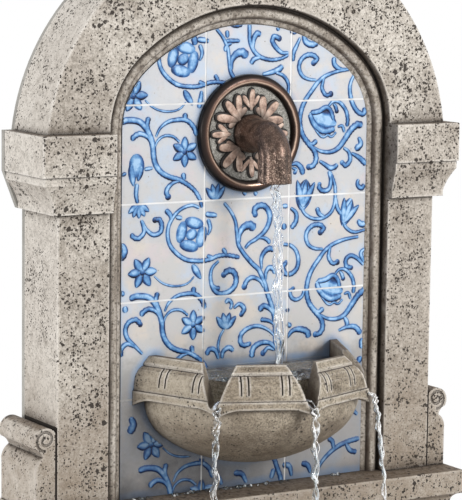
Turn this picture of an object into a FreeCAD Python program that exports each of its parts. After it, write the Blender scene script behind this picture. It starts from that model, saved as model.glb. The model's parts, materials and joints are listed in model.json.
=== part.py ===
import FreeCAD, Part
import math
import os

import Sketcher
from FreeCAD import Placement, Rotation, Vector

# Arched floor fountain in cast stone: tiled panel, bronze spout, upper bowl, plinth and lower basin.
# Frame: +Z up, front towards -Y, origin on the floor under the middle of the object. Millimetres.

doc = FreeCAD.newDocument("floor_fountain")
dim = doc.addObject("Spreadsheet::Sheet", "dim")

# Driving dimensions: name, number, what it measures
SIZES = (
    ("overall_depth", 316, "front of the lower basin to the back plane"),
    ("wall_depth", 66, "glazed tile face to the back plane"),
    ("face_reach", 14, "front of pilasters and arch ahead of the tile face"),
    ("shell_wall", 8, "wall of the hollow castings"),
    ("back_plate", 6, "thickness of the back panel"),
    ("edge_round", 1.6, "worn rounding of the stone arrises"),
    ("seat_gap", 0.3, "clearance between pieces that are set beside each other"),
    ("pin_fit", 0.05, "radial clearance of pins, plugs and bolts"),
    ("foot_height", 5, "rubber feet"),
    ("foot_radius", 8, "rubber feet"),
    ("plinth_top", 270, "floor to the plinth's ledge"),
    ("base_half", 251, "half width of the plinth's cap and skirt"),
    ("base_front", 48, "plinth cap ahead of the tile face"),
    ("base_step", 10, "cap and skirt ahead of the plinth's body"),
    ("cap_height", 26, "upright edge of the plinth's cap"),
    ("skirt_height", 34, "upright edge of the plinth's skirt"),
    ("ledge_thickness", 16, "stone under the plinth's ledge"),
    ("shaft_height", 298, "pilaster shaft, ledge to capital"),
    ("pilaster_inner", 167.5, "half width between the pilasters"),
    ("pilaster_outer", 226, "half width over the pilasters"),
    ("capital_height", 79, "whole capital"),
    ("abacus_height", 41, "square slab of the capital"),
    ("abacus_front", 15, "slab ahead of the shaft's front"),
    ("abacus_side", 23, "slab beyond the shaft's side"),
    ("neck_height", 8, "plain band under the slab"),
    ("neck_step", 2, "band behind the slab's face"),
    ("lip_height", 6, "upright lip at the capital's foot"),
    ("lip_front", 7, "lip ahead of the shaft's front"),
    ("lip_side", 8, "lip beyond the shaft's side"),
    ("cavetto_radius", 70, "hollow curve of the capital"),
    ("arch_radius", 240, "outer edge of the arch"),
    ("arch_drop", 30, "arch centre below the capital's top"),
    ("arch_rise", 126, "inner edge of the arch above the capital's top"),
    ("haunch_radius", 100, "inner arch where it springs"),
    ("frame_width", 20, "moulding between pilaster and tiles"),
    ("bead_radius", 6, "rounded bead of the moulding"),
    ("bead_set", 8.5, "pilaster to the middle of the bead"),
    ("frame_rise", 1.2, "flat of the moulding above the tile face"),
    ("tile_thickness", 5, "glazed tile"),
    ("bed_thickness", 8, "board behind the tiles"),
    ("tile_width", 102.5, "tile spacing across"),
    ("tile_height", 100, "tile spacing up"),
    ("first_row", 103, "lowest row of tiles"),
    ("grout", 2, "joint between tiles"),
    ("grout_set", 0.3, "grout behind the glazed face"),
    ("scroll_half", 249, "half width over the scroll brackets"),
    ("scroll_front", 13, "scroll front ahead of the tile face"),
    ("volute_radius", 13.5, "roll at the top of a scroll"),
    ("volute_height", 72, "middle of the roll above the ledge"),
    ("volute_half", 238, "half width to the middle of the roll"),
    ("neck_half", 241, "half width at the scroll's waist"),
    ("waist_height", 56, "scroll's waist above the ledge"),
    ("shoulder_height", 40, "scroll's shoulder above the ledge"),
    ("spiral_cut", 1.4, "radius of the spiral line on a scroll"),
    ("spiral_start", 9.6, "outermost half turn of the spiral line"),
    ("spiral_step", 2.8, "how much each half turn of the spiral shrinks"),
    ("spiral_turns", 3, "half turns of the spiral line"),
    ("medallion_height", 371, "medallion centre above the ledge"),
    ("medallion_radius", 61, "outside of the ring"),
    ("ridge_radius", 54.5, "crest of the ring"),
    ("ridge_reach", 9.5, "crest of the ring ahead of the tiles"),
    ("ring_foot", 4.5, "upright side of the ring"),
    ("recess_radius", 49, "inside of the ring"),
    ("field_reach", 4, "sunk field ahead of the tiles"),
    ("leaf_count", 8, "acanthus leaves"),
    ("leaf_reach", 46, "leaf tip from the medallion centre"),
    ("leaf_root", 20, "leaf foot from the medallion centre"),
    ("leaf_foot_half", 3, "half width of a leaf at its foot"),
    ("leaf_half", 9.8, "half width of a leaf over its lobes"),
    ("leaf_notch", 5, "half width of a leaf between its lobes"),
    ("leaf_lobe_low", 7, "fullest part of the lower lobe from the leaf's foot"),
    ("leaf_notch_low", 11, "notch above the lower lobe from the leaf's foot"),
    ("leaf_lobe_high", 17, "fullest part of the upper lobe from the leaf's foot"),
    ("leaf_notch_high", 19.5, "notch above the upper lobe from the leaf's foot"),
    ("leaf_bow", 8, "curve of a lobe's outer side"),
    ("leaf_tuck", 4.5, "curve of a lobe into its notch"),
    ("leaf_relief", 4, "leaf ahead of the field"),
    ("spout_radius", 16.5, "outside of the spout"),
    ("spout_bore", 12, "inside of the spout"),
    ("spout_reach", 53, "middle of the falling leg ahead of the tiles"),
    ("spout_drop", 47, "spout mouth below the medallion centre"),
    ("spout_bend", 24, "bend of the spout"),
    ("collar_radius", 19.5, "collar where the spout leaves the medallion"),
    ("collar_reach", 13, "front of the collar ahead of the tiles"),
    ("mouth_band", 7, "height of the rim at the spout's mouth"),
    ("mouth_rise", 1.5, "rim beyond the spout's outside"),
    ("tail_radius", 9, "threaded tail behind the spout"),
    ("tail_bore", 6.2, "bore of the tail"),
    ("tail_length", 26, "tail behind the tile face"),
    ("washer_radius", 16, "rubber washer behind the bed"),
    ("washer_height", 2, "rubber washer behind the bed"),
    ("nut_radius", 14, "lock nut over its corners"),
    ("nut_height", 6, "lock nut"),
    ("bowl_rim", 147, "bowl's rim above the ledge"),
    ("bowl_half", 132, "half width of the bowl at the wall"),
    ("bowl_corner_x", 90, "side corner of the bowl from the middle"),
    ("bowl_corner_y", 97, "side corner of the bowl ahead of the tiles"),
    ("bowl_front", 133, "front corner of the bowl ahead of the tiles"),
    ("bowl_lip_foot", 104.5, "foot of the bowl's plain band above the ledge"),
    ("bowl_band_foot", 112.5, "foot of the rounded band above the ledge"),
    ("bowl_band_full", 119, "fullest part of the rounded band above the ledge"),
    ("bowl_band_top", 137.5, "top of the rounded band above the ledge"),
    ("bowl_band_inset", 11.5, "top of the rounded band behind its fullest part"),
    ("bowl_fascia_reach", 1.5, "plain band beyond the rounded band"),
    ("bowl_bevel_foot", 140, "outer edge of the bevelled rim above the ledge"),
    ("bowl_bevel_inset", 10, "outer edge of the bevelled rim behind the fullest part"),
    ("bowl_rim_inset", 16, "inner edge of the bevelled rim behind the fullest part"),
    ("bowl_cavity_inset", 21, "inner face of the bowl behind the fullest part"),
    ("bowl_back", 10, "back wall of the bowl"),
    ("bowl_back_top", 120, "back wall of the bowl above the ledge"),
    ("belly_radius", 120, "outside of the bowl's round belly"),
    ("belly_depth", 76, "depth of the bowl's belly"),
    ("belly_side", 52, "belly's curve at the side"),
    ("belly_wall", 14, "thickness of the belly"),
    ("notch_width", 35, "pouring notch at the rim"),
    ("notch_floor_width", 11, "pouring notch above its round floor"),
    ("notch_floor_rise", 4, "height of the notch's round floor"),
    ("notch_tip", 105.5, "bottom of a pouring notch above the ledge"),
    ("beak_tip", 97.5, "lowest point of the lip under a notch, above the ledge"),
    ("beak_radius", 46, "hollow curve from a lip to the plain band's foot"),
    ("beak_depth", 24, "how far in the plain band is hollowed between the lips"),
    ("line_depth", 1.3, "incised line on a band"),
    ("line_width", 1.5, "incised line on a band"),
    ("line_bow", 23.1, "curve of an incised line's floor"),
    ("line_gap", 7.5, "spacing of a pair of lines"),
    ("line_inset", 24, "nearest line to a notch"),
    ("line_wall_inset", 32, "nearest line to the wall"),
    ("bolt_radius", 3, "bolts that hold the bowl"),
    ("bolt_half", 62, "half spacing of the bowl's bolts"),
    ("bolt_height", 84, "bowl's bolts above the ledge"),
    ("bolt_bite", 7, "bolt in the bowl's back wall"),
    ("bolt_head", 5.5, "radius of a bolt head"),
    ("bolt_head_height", 4, "bolt head"),
    ("basin_half", 234, "half width of the lower basin"),
    ("basin_side", 74, "straight side of the lower basin"),
    ("basin_front_half", 138, "half width of the lower basin's front"),
    ("basin_rim", 168, "lower basin's rim above the floor"),
    ("basin_foot_top", 34, "upright foot of the lower basin"),
    ("basin_foot_inset", 26, "foot behind the rim's fullest part"),
    ("basin_belly_top", 118, "top of the lower basin's belly"),
    ("basin_belly_inset", 6, "belly's top behind the fullest part"),
    ("basin_belly_mid", 70, "middle of the belly above the floor"),
    ("basin_belly_mid_inset", 19, "middle of the belly behind the fullest part"),
    ("basin_fascia_inset", 3, "plain band behind the rounded band"),
    ("basin_band_foot", 127, "foot of the rounded band above the floor"),
    ("basin_band_full", 135, "fullest part of the rounded band"),
    ("basin_band_top", 161, "top of the rounded band"),
    ("basin_band_inset", 13, "top of the rounded band behind its fullest part"),
    ("basin_bevel_foot", 163.5, "outer edge of the bevelled rim above the floor"),
    ("basin_bevel_inset", 11.5, "outer edge of the bevelled rim"),
    ("basin_rim_inset", 18, "inner edge of the bevelled rim"),
    ("basin_cavity_inset", 27, "inner face of the basin at the rim"),
    ("basin_floor_inset", 44, "inner face of the basin at its floor"),
    ("basin_floor", 16, "basin floor above the ground"),
    ("partition", 8, "wall between basin and pump well"),
    ("slot_half", 60, "half width of the water slot in that wall"),
    ("slot_height", 26, "height of the water slot"),
    ("well_half", 118, "half width inside the pump well"),
    ("well_back", 52, "pump well's back, behind the tile face"),
    ("well_wall", 5, "wall of the pump well"),
    ("well_top", 150, "top of the pump well above the floor"),
    ("well_floor", 11, "floor of the pump well above the ground"),
    ("drain_radius", 7, "drain bore in the basin's side"),
    ("drain_height", 26, "drain bore above the floor"),
    ("drain_set", 36, "drain bore ahead of the plinth"),
    ("drain_bush_wall", 2, "rubber bush in the drain"),
    ("drain_plug_length", 20, "drain plug inside the bush"),
    ("drain_head", 9.5, "head of the drain plug"),
    ("drain_head_height", 4, "head of the drain plug"),
    ("hose_set", 33, "hose behind the tile face"),
    ("hose_radius", 8, "outside of the supply hose"),
    ("hose_bore", 6.5, "inside of the supply hose"),
    ("hose_hole_gap", 3, "room around the hose in the ledge"),
    ("barb_length", 22, "barb inside the hose"),
    ("barb_bore", 4.5, "bore of the barbs"),
    ("clamp_wall", 1.2, "hose clamp band"),
    ("clamp_height", 9, "hose clamp band"),
    ("clip_wall", 3, "hose clip ring"),
    ("clip_height", 12, "hose clip"),
    ("clip_mouth", 13, "opening of a hose clip"),
    ("clip_count", 3, "hose clips"),
    ("clip_spacing", 110, "spacing of the hose clips"),
    ("clip_first", 60, "lowest clip above the ledge"),
    ("pump_length", 52, "pump housing along its shaft"),
    ("pump_width", 34, "pump housing, front to back"),
    ("pump_height", 44, "pump housing"),
    ("pump_outlet_set", 8, "outlet from the pump's cover end"),
    ("pump_shaft_height", 20, "rotor axis above the pump's underside"),
    ("chamber_radius", 14, "impeller chamber"),
    ("chamber_depth", 15, "impeller chamber"),
    ("rotor_bore", 9, "bore around the magnet"),
    ("rotor_depth", 30, "bore around the magnet, behind the chamber"),
    ("rotor_gap", 0.5, "running gap around the rotor"),
    ("blade_count", 6, "impeller blades"),
    ("blade_radius", 12.5, "impeller over its blades"),
    ("blade_thickness", 1.6, "impeller blade"),
    ("shaft_radius", 1.5, "ceramic shaft"),
    ("bush_radius", 4, "rubber bush at a shaft end"),
    ("bush_length", 4, "rubber bush at a shaft end"),
    ("cover_depth", 9, "intake cover along the shaft"),
    ("cover_wall", 2.5, "intake cover"),
    ("cover_slots", 5, "intake slots"),
    ("dial_radius", 7, "flow dial"),
    ("dial_height", 4, "flow dial"),
    ("cup_radius", 6, "suction cup"),
    ("cup_height", 7, "suction cup"),
    ("outlet_radius", 7.6, "outlet flange on the pump"),
    ("outlet_flange", 4, "height of the outlet flange"),
    ("door_half", 100, "half width of the rear door opening"),
    ("door_bottom", 116, "rear door opening above the floor"),
    ("door_top", 226, "rear door opening above the floor"),
    ("door_thickness", 6, "rear door"),
    ("door_gap", 0.5, "gap around the rear door"),
    ("door_lip", 12, "stop lip around the rear door"),
    ("hinge_pin_radius", 1.6, "hinge pin"),
    ("hinge_pin_half", 9, "hinge pin in the plinth, and in the door"),
    ("finger_radius", 11, "finger hole in the door"),
    ("finger_set", 34, "finger hole from the door's free edge"),
    ("magnet_radius", 4, "catch magnet and its plate"),
    ("catch_set", 6, "catch from the opening's free side"),
    ("plate_thickness", 1.5, "catch plate in the door"),
    ("grommet_bore", 4, "hole for a lead in the grommet"),
    ("grommet_hole", 9, "hole for the grommet in the plinth"),
    ("grommet_flange", 12, "grommet's inner flange"),
    ("grommet_x", 190, "grommet from the middle"),
    ("grommet_z", 46, "grommet above the floor"),
    ("screw_radius", 2, "screws of the back panel"),
    ("screw_head", 4, "screw head"),
    ("screw_length", 22, "whole screw"),
)
for row, (alias, size, meaning) in enumerate(SIZES, 1):
    dim.set("A%d" % row, meaning)
    dim.set("B%d" % row, str(size))
    dim.setAlias("B%d" % row, alias)
doc.recompute()

# Planes and levels that several pieces share, as expressions of the sheet
BACK = "(dim.overall_depth / 2)"
TILE = "(dim.overall_depth / 2 - dim.wall_depth)"
FACE = f"({TILE} - dim.face_reach)"
SHELL_BACK = f"({BACK} - dim.back_plate)"
SHELL_DEPTH = "(dim.wall_depth - dim.back_plate + dim.face_reach)"
CAP_FRONT = f"({TILE} - dim.base_front)"
BODY_FRONT = f"({CAP_FRONT} + dim.base_step)"
BODY_HALF = "(dim.base_half - dim.base_step)"
LEDGE = "dim.plinth_top"
CAPITAL_FOOT = "(dim.plinth_top + dim.shaft_height)"
CAPITAL_TOP = f"({CAPITAL_FOOT} + dim.capital_height)"
BED_BACK = f"({TILE} + dim.tile_thickness + dim.bed_thickness)"
MEDALLION_Z = "(dim.plinth_top + dim.medallion_height)"
HOSE_Y = f"({TILE} + dim.hose_set)"
CROWN_RADIUS = ("((dim.pilaster_inner^2 + dim.arch_rise^2 - 2 * dim.pilaster_inner * dim.haunch_radius)"
                " / (2 * (dim.arch_rise - dim.haunch_radius)))")
HINGE_X = "(-(dim.door_half - dim.door_gap - dim.door_thickness / 2))"
HINGE_Y = f"({BACK} - dim.door_thickness / 2)"
PUMP_FLOOR = "(dim.well_floor + dim.cup_height)"
PUMP_AXIS_Z = f"({PUMP_FLOOR} + dim.pump_shaft_height)"
PUMP_END = "dim.pump_outlet_set"
DRAIN_Y = f"({BODY_FRONT} - dim.drain_set)"
DRAIN_FACE = "(dim.basin_half - dim.basin_foot_inset)"

# Directions in degrees
ARCH_SCREW_TURNS = (30, 60, 120, 150)
BAND_TURNS = (30, 55, 75, 90)
ROLL_TURN = 30

nodes = {}


# Helpers for sketches, features and primitives


def number(expression):
    """The value that an expression of sheet cells has now."""
    return float(dim.evalExpression(expression))


def add_body(name):
    body = doc.addObject("PartDesign::Body", name)
    nodes[name] = body
    return body


def add_sketch(body, plane, offset="0", turn="0", shift="0"):
    """A sketch on an origin plane, moved along its normal and first axis, turned about its second."""
    sketch = body.newObject("Sketcher::SketchObject", "outline")
    support = [feature for feature in body.Origin.OriginFeatures if feature.Role == plane + "_Plane"][0]
    sketch.AttachmentSupport = [(support, "")]
    sketch.MapMode = "FlatFace"
    sketch.setExpression("AttachmentOffset.Base.z", offset)
    sketch.setExpression("AttachmentOffset.Base.x", shift)
    if turn != "0":
        sketch.AttachmentOffset = Placement(Vector(), Rotation(Vector(0, 1, 0), 1))
        sketch.setExpression("AttachmentOffset.Rotation.Angle", turn)
    return sketch


def pin_coordinate(sketch, geometry, point, kind, expression):
    """Hold one coordinate of a sketch point at an expression."""
    now = number(expression)
    if abs(now) < 1e-7:
        axis = -2 if kind == "DistanceX" else -1
        sketch.addConstraint(Sketcher.Constraint("PointOnObject", geometry, point, axis))
        return
    if now > 0:
        index = sketch.addConstraint(Sketcher.Constraint(kind, -1, 1, geometry, point, now))
        sketch.setExpression("Constraints[%d]" % index, expression)
    else:
        index = sketch.addConstraint(Sketcher.Constraint(kind, geometry, point, -1, 1, -now))
        sketch.setExpression("Constraints[%d]" % index, f"-({expression})")


def pin_point(sketch, geometry, point, corner):
    pin_coordinate(sketch, geometry, point, "DistanceX", corner[0])
    pin_coordinate(sketch, geometry, point, "DistanceY", corner[1])


def arc_between(start, end, radius, turn):
    """The short arc from start to end that turns left (1) or right (-1)."""
    chord = end - start
    left = Vector(-chord.y, chord.x, 0) / chord.Length
    height = math.sqrt(max(radius ** 2 - (chord.Length / 2) ** 2, 0.0))
    centre = (start + end) / 2 + left * height * turn
    first, last = (start, end) if turn > 0 else (end, start)
    begin = math.atan2(first.y - centre.y, first.x - centre.x)
    finish = math.atan2(last.y - centre.y, last.x - centre.x)
    return Part.ArcOfCircle(Part.Circle(centre, Vector(0, 0, 1), radius), begin, finish)


def outline(sketch, corners, arcs=None, closed=True):
    """An outline through corners, pairs of expressions. arcs maps a side's number to (radius, turn)."""
    arcs = arcs or {}
    points = [Vector(number(x), number(y), 0) for x, y in corners]
    sides = len(corners) if closed else len(corners) - 1
    ends = []
    for side in range(sides):
        start, end = points[side], points[(side + 1) % len(points)]
        if side in arcs:
            radius, turn = arcs[side]
            geometry = sketch.addGeometry(arc_between(start, end, number(radius), turn))
            ends.append((geometry, 1, 2) if turn > 0 else (geometry, 2, 1))
        else:
            geometry = sketch.addGeometry(Part.LineSegment(start, end))
            ends.append((geometry, 1, 2))
    for side in range(sides if closed else sides - 1):
        geometry, _, finish = ends[side]
        following, begin, _ = ends[(side + 1) % sides]
        sketch.addConstraint(Sketcher.Constraint("Coincident", geometry, finish, following, begin))
    for side in range(sides):
        pin_point(sketch, ends[side][0], ends[side][1], corners[side])
    if not closed:
        pin_point(sketch, ends[-1][0], ends[-1][2], corners[-1])
    for side, (radius, _) in arcs.items():
        index = sketch.addConstraint(Sketcher.Constraint("Radius", ends[side][0], number(radius)))
        sketch.setExpression("Constraints[%d]" % index, radius)
    return sketch


def rectangle(sketch, low_x, low_y, high_x, high_y):
    return outline(sketch, [(low_x, low_y), (high_x, low_y), (high_x, high_y), (low_x, high_y)])


def circle(sketch, x, y, radius):
    geometry = sketch.addGeometry(Part.Circle(Vector(number(x), number(y), 0), Vector(0, 0, 1),
                                              number(radius)))
    pin_point(sketch, geometry, 3, (x, y))
    index = sketch.addConstraint(Sketcher.Constraint("Radius", geometry, number(radius)))
    sketch.setExpression("Constraints[%d]" % index, radius)
    return sketch


def pad(body, sketch, length, against=False):
    feature = body.newObject("PartDesign::Pad", "pad")
    feature.Profile = sketch
    feature.setExpression("Length", length)
    feature.Reversed = against
    doc.recompute()
    return feature


def pocket(body, sketch, length, along=True, middle=False):
    """Cut along the sketch's normal, or against it, and make sure that something was cut."""
    before = body.Shape.Volume
    feature = body.newObject("PartDesign::Pocket", "pocket")
    feature.Profile = sketch
    feature.setExpression("Length", length)
    feature.Reversed = along
    feature.Midplane = middle
    doc.recompute()
    if body.Shape.Volume > before - 1e-3:
        raise RuntimeError("a pocket of %s cuts nothing" % body.Label)
    return feature


def revolve(body, sketch, cut=False, axis="Z_Axis"):
    kind = "PartDesign::Groove" if cut else "PartDesign::Revolution"
    feature = body.newObject(kind, "turned")
    feature.Profile = sketch
    line = [item for item in body.Origin.OriginFeatures if item.Role == axis][0]
    feature.ReferenceAxis = (line, [""])
    feature.Angle = 360
    doc.recompute()
    return feature


def loft(body, sketches, ruled=False, cut=False):
    feature = body.newObject("PartDesign::SubtractiveLoft" if cut else "PartDesign::AdditiveLoft", "loft")
    feature.Profile = sketches[0]
    feature.Sections = sketches[1:]
    feature.Ruled = ruled
    doc.recompute()
    return feature


def pipe(body, section, path, cut=False):
    feature = body.newObject("PartDesign::SubtractivePipe" if cut else "PartDesign::AdditivePipe", "pipe")
    feature.Profile = section
    feature.Spine = (path, ["Edge%d" % (index + 1) for index in range(len(path.Geometry))])
    doc.recompute()
    return feature


def round_edges(body, radius, wanted):
    """Round the edges of the body's last feature that the wanted function picks."""
    doc.recompute()
    tip = body.Tip
    names = ["Edge%d" % (index + 1) for index, edge in enumerate(tip.Shape.Edges) if wanted(edge)]
    feature = body.newObject("PartDesign::Fillet", "rounding")
    feature.Base = (tip, names)
    feature.setExpression("Radius", radius)
    doc.recompute()
    return feature


def place(item, x="0", y="0", z="0", axis=(0, 0, 1), angle=0):
    item.Placement = Placement(Vector(), Rotation(Vector(*axis), angle))
    for name, expression in (("x", x), ("y", y), ("z", z)):
        item.setExpression("Placement.Base." + name, expression)
    return item


# Turns that lay a piece's own Z axis along a direction of the frame
ALONG = {"+Z": ((0, 0, 1), 0), "-Z": ((1, 0, 0), 180), "-Y": ((1, 0, 0), 90), "+Y": ((1, 0, 0), -90),
         "+X": ((0, 1, 0), 90), "-X": ((0, 1, 0), -90)}


def add_box(x, y, z, length, width, height, name="block"):
    item = doc.addObject("Part::Box", name)
    item.setExpression("Length", length)
    item.setExpression("Width", width)
    item.setExpression("Height", height)
    return place(item, x, y, z)


def add_cylinder(x, y, z, radius, height, direction="+Z", name="round"):
    item = doc.addObject("Part::Cylinder", name)
    item.setExpression("Radius", radius)
    item.setExpression("Height", height)
    axis, angle = ALONG[direction]
    return place(item, x, y, z, axis, angle)


def fuse(items, name="joined"):
    item = doc.addObject("Part::MultiFuse", name)
    item.Shapes = items
    return item


def cut(base, tools, name="trimmed"):
    item = doc.addObject("Part::Cut", name)
    item.Base = base
    item.Tool = tools[0] if len(tools) == 1 else fuse(tools)
    return item


def common(base, tool, name):
    item = doc.addObject("Part::Common", name)
    item.Base = base
    item.Tool = tool
    return item


def group(name, items):
    item = doc.addObject("Part::Compound", name)
    item.Links = items
    nodes[name] = item
    return item


def keep(name, item):
    item.Label = name
    nodes[name] = item
    return item


def turned(name, profile, x, y, z, direction, arcs=None):
    """A round piece from its half section (radius, height), laid along a direction."""
    body = add_body(name)
    revolve(body, outline(add_sketch(body, "XZ"), profile, arcs))
    axis, angle = ALONG[direction]
    return place(body, x, y, z, axis, angle)


def ring(name, inner, outer, height, x, y, z, direction="+Z"):
    return turned(name, [(inner, "0"), (outer, "0"), (outer, height), (inner, height)], x, y, z,
                  direction)


# Shared outlines


def arch_curve(inset):
    """Corners and arcs of the inner arch, right to left, moved inwards by inset."""
    reach = f"((dim.pilaster_inner - dim.haunch_radius) / ({CROWN_RADIUS} - dim.haunch_radius))"
    climb = f"(({CROWN_RADIUS} - dim.arch_rise) / ({CROWN_RADIUS} - dim.haunch_radius))"
    haunch = f"(dim.haunch_radius - {inset})"
    spring_x = f"(dim.pilaster_inner - {inset})"
    joint_x = f"(dim.pilaster_inner - dim.haunch_radius + {haunch} * {reach})"
    joint_z = f"({CAPITAL_TOP} + {haunch} * {climb})"
    corners = [(spring_x, CAPITAL_TOP), (joint_x, joint_z), (f"-{joint_x}", joint_z),
               (f"-{spring_x}", CAPITAL_TOP)]
    radii = [haunch, f"({CROWN_RADIUS} - {inset})", haunch]
    return corners, radii


def arched_panel(sketch, inset):
    """Closed outline of the panel between the pilasters, from the ledge to the arch."""
    curve, radii = arch_curve(inset)
    half = f"(dim.pilaster_inner - {inset})"
    corners = [(f"-{half}", LEDGE), (half, LEDGE)] + curve
    return outline(sketch, corners, {2 + index: (radius, 1) for index, radius in enumerate(radii)})


def is_front_upright(edge):
    """A straight upright edge on the front plane of the pilasters."""
    box = edge.BoundBox
    return abs(box.YMin - number(FACE)) < 0.01 and box.YLength < 0.01 and box.XLength < 0.01


# Stone castings


def build_plinth():
    body = add_body("plinth")
    step, half, inner = "dim.base_step", "dim.base_half", BODY_HALF
    skirt_top = "(dim.foot_height + dim.skirt_height)"
    cap_foot = "(dim.plinth_top - dim.cap_height)"
    right = [(half, "dim.foot_height"), (half, skirt_top), (inner, f"({skirt_top} + {step})"),
             (inner, f"({cap_foot} - {step})"), (half, cap_foot), (half, LEDGE)]
    left = [(f"-{x}", z) for x, z in reversed(right)]
    arcs = {1: (step, -1), 3: (step, -1), 7: (step, -1), 9: (step, -1)}
    pad(body, outline(add_sketch(body, "XZ", f"-{BACK}"), right + left, arcs),
        "dim.wall_depth + dim.base_front")
    # The front has no skirt, because the lower basin stands against it
    ahead = f"({CAP_FRONT} - {step})"
    front = [(ahead, "0"), (BODY_FRONT, "0"), (BODY_FRONT, f"({cap_foot} - {step})"),
             (CAP_FRONT, cap_foot),
             (ahead, cap_foot)]
    sketch = outline(add_sketch(body, "YZ", "-2 * dim.base_half"), front, {2: (step, 1)})
    pocket(body, sketch, "4 * dim.base_half")
    room_half = f"({inner} - dim.shell_wall)"
    sketch = rectangle(add_sketch(body, "XY", "0"), f"-{room_half}", f"{BODY_FRONT} + dim.shell_wall",
                       room_half, f"{BACK} - dim.shell_wall")
    pocket(body, sketch, "dim.plinth_top - dim.ledge_thickness")
    # Way for the pump well through the front wall
    way_half = "(dim.well_half + dim.well_wall + dim.seat_gap)"
    sketch = rectangle(add_sketch(body, "XZ", f"-({BODY_FRONT} + 2 * dim.shell_wall)"), f"-{way_half}",
                       "0",
                       way_half, "dim.well_top + dim.seat_gap")
    pocket(body, sketch, "3 * dim.shell_wall")
    # Rear door opening with a stop lip, hinge pin holes and catch
    sketch = rectangle(add_sketch(body, "XZ", f"-{BACK}"), "-dim.door_half", "dim.door_bottom",
                       "dim.door_half",
                       "dim.door_top")
    pocket(body, sketch, "dim.door_thickness + dim.seat_gap")
    sketch = rectangle(add_sketch(body, "XZ", f"-{BACK}"), "-dim.door_half",
                       "dim.door_bottom + dim.door_lip",
                       "dim.door_half - dim.door_lip", "dim.door_top - dim.door_lip")
    pocket(body, sketch, "2 * dim.shell_wall")
    for level, upwards in (("dim.door_top", True), ("dim.door_bottom", False)):
        sketch = circle(add_sketch(body, "XY", level), HINGE_X, HINGE_Y,
                        "dim.hinge_pin_radius + dim.pin_fit")
        pocket(body, sketch, "dim.hinge_pin_half", upwards)
    sketch = circle(add_sketch(body, "XZ", f"-{BACK}"), "dim.door_half - dim.catch_set",
                    "(dim.door_bottom + dim.door_top) / 2", "dim.magnet_radius + dim.pin_fit")
    pocket(body, sketch, "2 * dim.shell_wall")
    # Hose hole in the ledge, and the hole for the lead's grommet
    sketch = circle(add_sketch(body, "XY", LEDGE), "0", HOSE_Y, "dim.hose_radius + dim.hose_hole_gap")
    pocket(body, sketch, "2 * dim.ledge_thickness", False)
    sketch = circle(add_sketch(body, "XZ", f"-{BACK}"), "dim.grommet_x", "dim.grommet_z",
                    "dim.grommet_hole")
    pocket(body, sketch, "2 * dim.shell_wall")

    def is_cap_edge(edge):
        box = edge.BoundBox
        level = abs(box.ZMin - number(LEDGE)) < 0.01 or abs(box.ZMin - number(cap_foot)) < 0.01
        on_front = abs(box.YMin - number(CAP_FRONT)) < 0.01 and box.YLength < 0.01
        on_side = abs(abs(box.XMin) - number(half)) < 0.01 and box.XLength < 0.01
        return level and box.ZLength < 0.01 and (on_front or on_side)

    round_edges(body, "dim.edge_round", is_cap_edge)
    return body


def build_pilaster(name, side):
    body = add_body(name)
    near, far = ("dim.pilaster_inner", "dim.pilaster_outer")
    low, high = (near, far) if side > 0 else (f"-{far}", f"-{near}")
    rectangle_sketch = rectangle(add_sketch(body, "XZ", f"-{SHELL_BACK}"), low, LEDGE, high, CAPITAL_FOOT)
    pad(body, rectangle_sketch, SHELL_DEPTH)
    wall = "dim.shell_wall"
    hollow = rectangle(add_sketch(body, "XZ", f"-{SHELL_BACK}"), f"{low} + {wall}", f"{LEDGE} + {wall}",
                       f"{high} - {wall}", f"{CAPITAL_FOOT} - {wall}")
    pocket(body, hollow, f"{SHELL_DEPTH} - {wall}")
    sign = "" if side > 0 else "-"
    drill_screws(body, [(f"{sign}{x}", z) for x, z in pilaster_screws()])
    round_edges(body, "dim.edge_round", is_front_upright)
    return body


def capital_profile(reach_slab, reach_lip):
    """Moulded side of a capital from foot to top: distance beyond the shaft, and level."""
    slab_foot = f"({CAPITAL_TOP} - dim.abacus_height)"
    neck_foot = f"({slab_foot} - dim.neck_height)"
    lip_top = f"({CAPITAL_FOOT} + dim.lip_height)"
    neck = f"({reach_slab} - dim.neck_step)"
    return [(reach_lip, CAPITAL_FOOT), (reach_lip, lip_top), (neck, neck_foot), (neck, slab_foot),
            (reach_slab, slab_foot), (reach_slab, CAPITAL_TOP)]


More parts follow.
